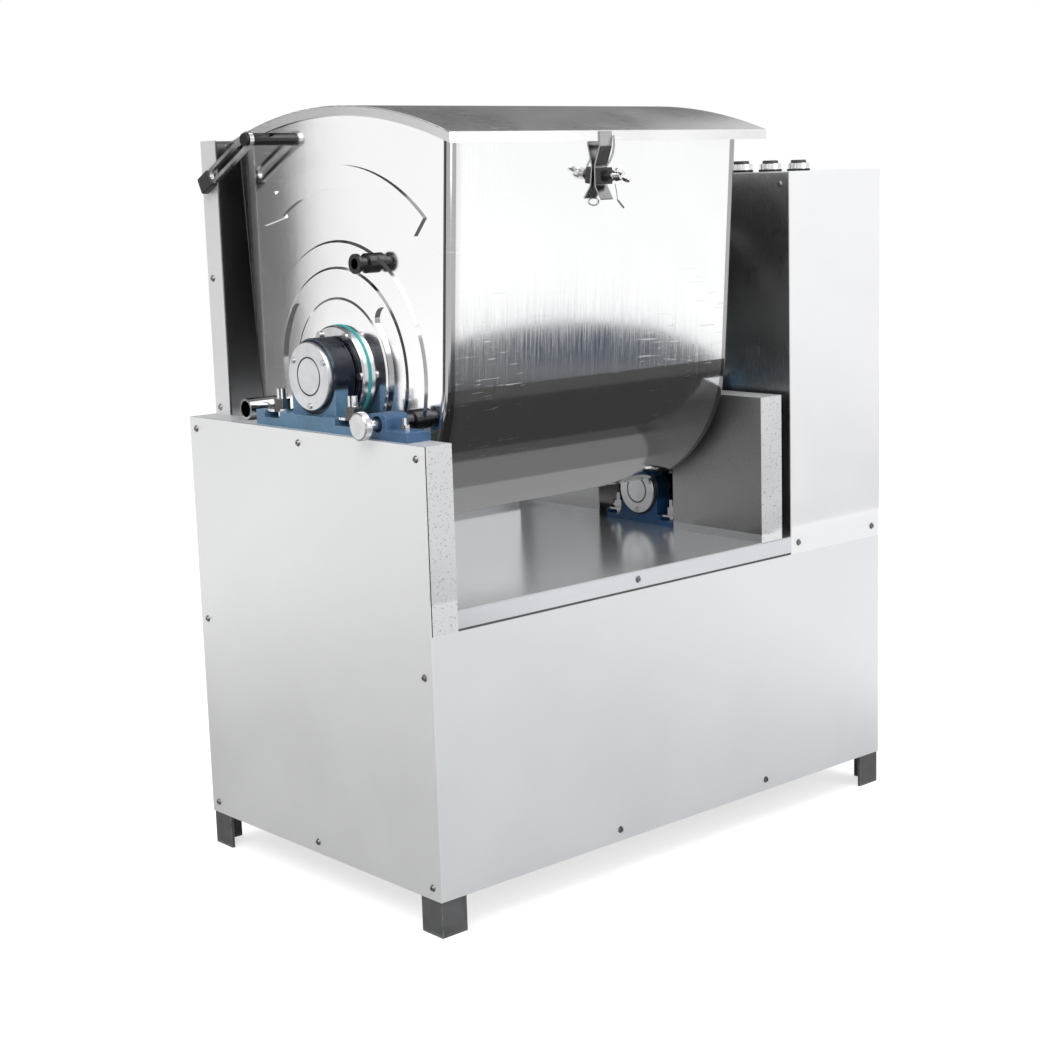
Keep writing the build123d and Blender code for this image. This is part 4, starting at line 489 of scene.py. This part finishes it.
FINISHES = {
    bowl_wrap: ["bowl_shell"],
    bowl_end: ["bowl_left_plate", "bowl_right_plate", "bowl_hinge_leaves", "bowl_stop_tube"],
    lid_sheet: ["lid_cover", "lid_hinge_leaves"],
    strap_metal: ["clamp_strap"],
    side_panel: ["left_end_panel", "right_end_panel"],
    rear_panel: ["back_panel"],
    front_panel: ["front_panel"],
    column_panel: ["column_front_panel", "column_top_panel", "column_back_panel"],
    column_side_shaded: ["column_left_wall"],
    deck_sheet: ["deck_sheet"],
    galvanised: ["left_pedestal", "right_pedestal"],
    guard_sheet: ["rear_guard"],
    frame_paint: ["base_frame", "bench_plate", "motor_plate"],
    block_enamel: ["left_bearing_housing", "right_bearing_housing"],
    low_enamel: ["pinion_left_housing", "pinion_right_housing"],
    lock_enamel: ["lock_block"],
    motor_enamel: ["motor_body"],
    cap_metal: ["bearing_caps"],
    knob_metal: ["lock_pin"],
    bright_steel: ["handle_link", "lid_hinge_pins", "main_shaft", "wing_screw",
                   "switch_bodies", "bearings", "housing_bolts"],
    hub_steel: ["bowl_hubs", "mixing_arms", "pinion_shaft"],
    dark_steel: ["lock_sockets", "handle_pivot"],
    zinc_plate: ["cap_screws", "hub_screws"],
    screw_metal: ["panel_screws"],
    grey_iron: ["main_gear", "large_pulley", "motor_rotor"],
    black_plastic: ["clamp_block", "handle_grip", "cable_gland"],
    black_rubber: ["v_belts", "shaft_seals"],
    teal_ring: ["hub_gaskets"],
    button_cap: ["start_button", "stop_button", "reverse_button"],
}
for finish, names in FINISHES.items():
    for name in names:
        for slot in nodes[name].material_slots:
            slot.material = finish.material


# Small pieces that the CAD model doesn't carry

def new_mesh(name, vertices, faces, material):
    """A mesh object in the scene."""
    mesh = bpy.data.meshes.new(name)
    mesh.from_pydata([tuple(v) for v in vertices], [], faces)
    mesh.materials.append(material)
    piece = bpy.data.objects.new(name, mesh)
    bpy.context.collection.objects.link(piece)
    return piece


RING_STEPS = 20
WIRE_SIDES = 8


def ring_points(centre, axis, radius, wire_radius):
    """The points of a round ring of wire around an axis, one section after another."""
    axis = Vector(axis).normalized()
    side = axis.orthogonal().normalized()
    up = axis.cross(side)
    vertices = []
    for step in range(RING_STEPS):
        a = 2 * pi * step / RING_STEPS
        out = (side * cos(a) + up * sin(a)).normalized()
        for index in range(WIRE_SIDES):
            b = 2 * pi * index / WIRE_SIDES
            vertices.append(centre + out * (radius + wire_radius * cos(b)) + axis * wire_radius * sin(b))
    return vertices


def ring_faces(first):
    """The faces of a ring whose points start at a given index."""
    faces = []
    for step in range(RING_STEPS):
        here = first + step * WIRE_SIDES
        there = first + (step + 1) % RING_STEPS * WIRE_SIDES
        for index in range(WIRE_SIDES):
            after = (index + 1) % WIRE_SIDES
            faces.append((here + index, there + index, there + after, here + after))
    return faces


def rings(name, spots, finish, body):
    """Several round rings in one mesh: each spot is a centre, an axis, a radius and a wire."""
    vertices = []
    faces = []
    for spot in spots:
        faces += ring_faces(len(vertices))
        vertices += ring_points(*spot)
    piece = new_mesh(name, vertices, faces, finish.material)
    for face in piece.data.polygons:
        face.use_smooth = True
    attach(piece, body)


# Cross-shaped driver recesses in the heads of the sheet screws, painted as near-black quads for the shade
# in them, which stand off the sheets
CROSS_LONG = 0.0019
CROSS_WIDE = 0.00045
CROSS_STANDS = 2.45
LEFT_SCREWS = ((15, 60), (15, 315), (15, 570), (245, 60), (245, 570), (475, 60), (475, 315), (475, 570))
FRONT_SCREWS = ((295.2, 60), (574, 60), (645, 380), (803.5, 380), (335.5, 379))


def panel_screw_crosses():
    """The recesses of the left end sheet's and the front sheets' screws."""
    spots = [(at(-CROSS_STANDS, y, z), Vector((-1, 0, 0))) for y, z in LEFT_SCREWS]
    spots += [(at(x, -CROSS_STANDS, z), Vector((0, -1, 0))) for x, z in FRONT_SCREWS]
    vertices = []
    faces = []
    for centre, out in spots:
        side = out.orthogonal().normalized()
        up = out.cross(side)
        for first, second in ((side, up), (up, side)):
            base = len(vertices)
            for a, b in ((-1, -1), (1, -1), (1, 1), (-1, 1)):
                vertices.append(centre + first * a * CROSS_LONG + second * b * CROSS_WIDE)
            faces.append((base, base + 1, base + 2, base + 3))
    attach(new_mesh("panel_screw_crosses", vertices, faces, recess_shade_paint.material), "base")


panel_screw_crosses()


# The clamp's fine chain from the lid's flange, and its ring on a short wire
CHAIN_PATH = [at(321, 12.6, 925), at(320, 10.5, 916), at(316, 9, 905), at(311, 9.5, 896), at(306, 11, 890)]
CHAIN_LINKS = 17
LINK_RADIUS = 0.0013
LINK_WIRE = 0.00042
HANGING_WIRE = [at(318, 8.5, 869), at(320, 8, 860), at(321.5, 8.5, 850)]
HANGING_WIRE_RADIUS = 0.0005
CLAMP_RING = (at(325, 6.5, 845), (0.5, -0.6, 0.6), 0.0062, 0.0008)


def chain_point(share):
    """A point along the chain's path, by its share of the path's length."""
    lengths = [(b - a).length for a, b in zip(CHAIN_PATH, CHAIN_PATH[1:])]
    left = share * sum(lengths)
    for a, b, length in zip(CHAIN_PATH, CHAIN_PATH[1:], lengths):
        if left <= length:
            return a.lerp(b, left / length)
        left -= length
    return CHAIN_PATH[-1]


def clamp_chain():
    """A fine chain of alternately turned links."""
    last = CHAIN_LINKS - 1
    spots = []
    for index in range(CHAIN_LINKS):
        ahead = chain_point(min((index + 1) / last, 1.0))
        behind = chain_point(max((index - 1) / last, 0.0))
        along = (ahead - behind).normalized()
        flat = along.cross(Vector((0, 1, 0))).normalized()
        axis = along.cross(flat) if index % 2 else flat
        spots.append((chain_point(index / last), axis, LINK_RADIUS, LINK_WIRE))
    rings("clamp_chain", spots, chain_metal, "lid")


def clamp_wire():
    """The round wire that hangs from the clamp block, as a smooth curve."""
    curve = bpy.data.curves.new("clamp_wire", "CURVE")
    curve.dimensions = "3D"
    curve.bevel_depth = HANGING_WIRE_RADIUS
    curve.bevel_resolution = 3
    curve.resolution_u = 6
    spline = curve.splines.new("BEZIER")
    spline.bezier_points.add(len(HANGING_WIRE) - 1)
    for knot, point in zip(spline.bezier_points, HANGING_WIRE):
        knot.co = point
        knot.handle_left_type = "AUTO"
        knot.handle_right_type = "AUTO"
    curve.materials.append(chain_metal.material)
    piece = bpy.data.objects.new("clamp_wire", curve)
    bpy.context.collection.objects.link(piece)
    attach(piece, "lid")


clamp_chain()
clamp_wire()
rings("clamp_ring", [CLAMP_RING], chain_metal, "lid")


# Knurling around the pull knob
KNOB = (-15.0, 95.0, 603.0)
KNURLS = 72
KNURL_HALF_LENGTH = 4.0
KNURL_SECTION = ((16.4, -0.022), (16.75, 0.0), (16.4, 0.022))


def knob_knurling():
    """Small ridges around the knob's rim."""
    vertices = []
    faces = []
    for index in range(KNURLS):
        a = 2 * pi * index / KNURLS
        base = len(vertices)
        for x in (-KNURL_HALF_LENGTH, KNURL_HALF_LENGTH):
            for radius, turn in KNURL_SECTION:
                y = radius * cos(a + turn)
                z = radius * sin(a + turn)
                vertices.append(at(KNOB[0] + x, KNOB[1] + y, KNOB[2] + z))
        faces += [(base, base + 1, base + 4, base + 3), (base + 1, base + 2, base + 5, base + 4),
                  (base, base + 2, base + 1), (base + 3, base + 4, base + 5)]
    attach(new_mesh("knob_knurling", vertices, faces, knob_metal.material), "lock_pin")


knob_knurling()

# Rubber rings under the push buttons' collars
BUTTON_COLUMNS = (665, 725, 785)
BUTTON_ROW = 115
GASKET_LEVEL = 879.8
GASKET_RADIUS = 0.0146
GASKET_WIRE = 0.0018
gasket_spots = [(at(x, BUTTON_ROW, GASKET_LEVEL), (0, 0, 1), GASKET_RADIUS, GASKET_WIRE)
                for x in BUTTON_COLUMNS]
rings("button_gaskets", gasket_spots, black_rubber, "base")


# Floor, light and camera
FLOOR_HALF = 9.0
FLOOR_GLOW = 0.66


def studio_paint(name, colour, roughness, glow):
    """A material without shine that can glow; gives it with its nodes and its shader."""
    paint = bpy.data.materials.new(name)
    paint.use_nodes = True
    shader = paint.node_tree.nodes["Principled BSDF"]
    shader.inputs["Base Color"].default_value = (*colour, 1.0)
    shader.inputs["Roughness"].default_value = roughness
    shader.inputs["Specular IOR Level"].default_value = 0.0
    shader.inputs["Emission Color"].default_value = (*glow, 1.0)
    shader.inputs["Emission Strength"].default_value = 1.0
    return paint, paint.node_tree, shader


def white_floor():
    """A wide white floor that glows where the camera or a mirror sees it."""
    paint, tree, shader = studio_paint("floor_paint", (0.8, 0.8, 0.8), 0.9, (1.0, 1.0, 1.0))
    rays = add(tree, "ShaderNodeLightPath").outputs
    seen = calculate(tree, "MAXIMUM", rays["Is Camera Ray"], rays["Is Glossy Ray"])
    tree.links.new(calculate(tree, "MULTIPLY", seen, FLOOR_GLOW), shader.inputs["Emission Strength"])
    corners = [(a * FLOOR_HALF, b * FLOOR_HALF, 0) for a, b in ((-1, -1), (1, -1), (1, 1), (-1, 1))]
    new_mesh("floor", corners, [(0, 1, 2, 3)], paint)


def reflector(name, corners, tone, one_sided=False):
    """A board that only mirrors show: it gives polished sheet something to reflect."""
    paint, tree, shader = studio_paint(name, (0.0, 0.0, 0.0), 1.0, tone)
    if one_sided:
        back = add(tree, "ShaderNodeNewGeometry").outputs["Backfacing"]
        tree.links.new(calculate(tree, "SUBTRACT", 1.0, back), shader.inputs["Alpha"])
    board = new_mesh(name, corners, [tuple(range(len(corners)))], paint)
    board.visible_camera = False
    board.visible_diffuse = False
    board.visible_shadow = False
    board.visible_transmission = False


def flat_board(x, y, z):
    """Corners of a board in one plane, from two ranges in millimetres and one number."""
    if isinstance(z, (int, float)):
        return [at(x[0], y[0], z), at(x[1], y[0], z), at(x[1], y[1], z), at(x[0], y[1], z)]
    if isinstance(x, (int, float)):
        return [at(x, y[0], z[0]), at(x, y[1], z[0]), at(x, y[1], z[1]), at(x, y[0], z[1])]
    return [at(x[0], y, z[0]), at(x[1], y, z[0]), at(x[1], y, z[1]), at(x[0], y, z[1])]


white_floor()

# Boards in front of the machine, whose outlines make the arch of the bowl's dark band
NEAR_BOARD = ((1440, -10), (1415, -726), (1358, -732), (1247, -744), (1038, -784), (826, -838),
              (-150, -838), (-150, -10))
FAR_BOARD = ((826, -838), (1038, -784), (1247, -744), (1358, -732), (1415, -726), (1476, -783),
             (1553, -915), (1606, -1097), (1541, -1200), (1456, -1235), (1332, -1226),
             (1250, -1212), (1164, -1190), (1081, -1147), (-150, -1117), (-150, -838))
BLUE_CARD = ((1308, -1199), (1594, -1076), (1338, -825), (1062, -921))
BOARD_LEVEL = 400
UPPER_BOARD_LEVEL = 401
BLUE_CARD_LEVEL = 402
reflector("near_board", [at(x, y, BOARD_LEVEL) for x, y in NEAR_BOARD], (0.075, 0.075, 0.075))
reflector("dark_board", flat_board((-150, 1430), (-420, -10), UPPER_BOARD_LEVEL), (0.042, 0.042, 0.042))
reflector("far_board", [at(x, y, BOARD_LEVEL) for x, y in FAR_BOARD], (0.16, 0.165, 0.18))
reflector("blue_card", [at(x, y, BLUE_CARD_LEVEL) for x, y in BLUE_CARD], (0.085, 0.1, 0.13))

# Boards over the deck that only the bowl's underside sees, and one at the deck's rear
for name, front, back, tone in (("lip_board", -10, 30, 0.075), ("deck_board", 30, 130, 0.17),
                                ("bed_board", 130, 480, 0.28)):
    corners = flat_board((64, 600), (front, back), UPPER_BOARD_LEVEL)
    reflector(name, corners, (tone, tone, tone), one_sided=True)
reflector("slot_board", flat_board((64, 556), 470, (394, 560)), (0.62, 0.63, 0.64))

# Grey boards round the studio, for the plates, the lid and the column
for name, tone, ranges in (("floor_board", 0.3, ((-1900, 1100), (-1600, 1400), 4)),
                           ("rear_left_board", 0.16, (-1310, (2270, 3300), (250, 1700))),
                           ("upper_left_board", 0.1, (-2600, (1500, 4300), (1500, 4200))),
                           ("camera_side_board", 0.12, (-2100, (-1300, 700), (100, 2100))),
                           ("back_board", 0.2, ((-1600, 4800), 3400, (1200, 4600))),
                           ("ceiling_board", 0.2, ((-3100, 3900), (-1800, 4200), 5200))):
    reflector(name, flat_board(*ranges), (tone, tone, tone))


LAMP_TARGET = Vector((0, 0, 0.5))


def soft_lamp(name, place, size, power):
    """A square area lamp that points at the machine's middle."""
    data = bpy.data.lights.new(name, "AREA")
    data.shape = "SQUARE"
    data.size = size
    data.energy = power
    lamp = bpy.data.objects.new(name, data)
    lamp.location = place
    lamp.rotation_euler = (LAMP_TARGET - Vector(place)).to_track_quat("-Z", "Y").to_euler()
    bpy.context.collection.objects.link(lamp)


soft_lamp("key_lamp", (-2.2, -1.2, 2.6), 2.0, 36)
soft_lamp("front_lamp", (0.8, -3.2, 1.4), 2.0, 25)
soft_lamp("top_lamp", (0.2, 0.2, 3.4), 2.4, 24)

# The white surroundings light the object less than the camera and mirrors see them
SKY_LIGHT = 0.5
SKY_SEEN = 1.0
world = bpy.data.worlds.new("studio")
world.use_nodes = True
bpy.context.scene.world = world
sky = world.node_tree
background = sky.nodes["Background"]
background.inputs["Color"].default_value = (1.0, 1.0, 1.0, 1.0)
rays = add(sky, "ShaderNodeLightPath").outputs
seen = calculate(sky, "MAXIMUM", rays["Is Camera Ray"], rays["Is Glossy Ray"])
seen = calculate(sky, "MAXIMUM", seen, rays["Is Transmission Ray"])
sky.links.new(spread(sky, seen, 0.0, 1.0, SKY_LIGHT, SKY_SEEN), background.inputs["Strength"])

# The photograph's camera: angles in degrees, lens and sensor in millimetres
CAMERA_PLACE = (-1.7122, -1.89477, 0.875)
CAMERA_YAW = 41.33
CAMERA_PITCH = 10.13
CAMERA_ROLL = -1.78
CAMERA_LENS = 65.5
CAMERA_SENSOR = 36.0
yaw = radians(CAMERA_YAW)
pitch = radians(CAMERA_PITCH)
camera_data = bpy.data.cameras.new("camera")
camera_data.lens = CAMERA_LENS
camera_data.sensor_width = CAMERA_SENSOR
camera = bpy.data.objects.new("camera", camera_data)
forward = Vector((sin(yaw) * cos(pitch), cos(yaw) * cos(pitch), -sin(pitch)))
aim = forward.to_track_quat("-Z", "Y").to_matrix().to_4x4()
roll = Matrix.Rotation(radians(CAMERA_ROLL), 4, "Z")
camera.matrix_world = Matrix.Translation(CAMERA_PLACE) @ aim @ roll
bpy.context.collection.objects.link(camera)
bpy.context.scene.camera = camera
bpy.context.scene.view_settings.view_transform = "Standard"
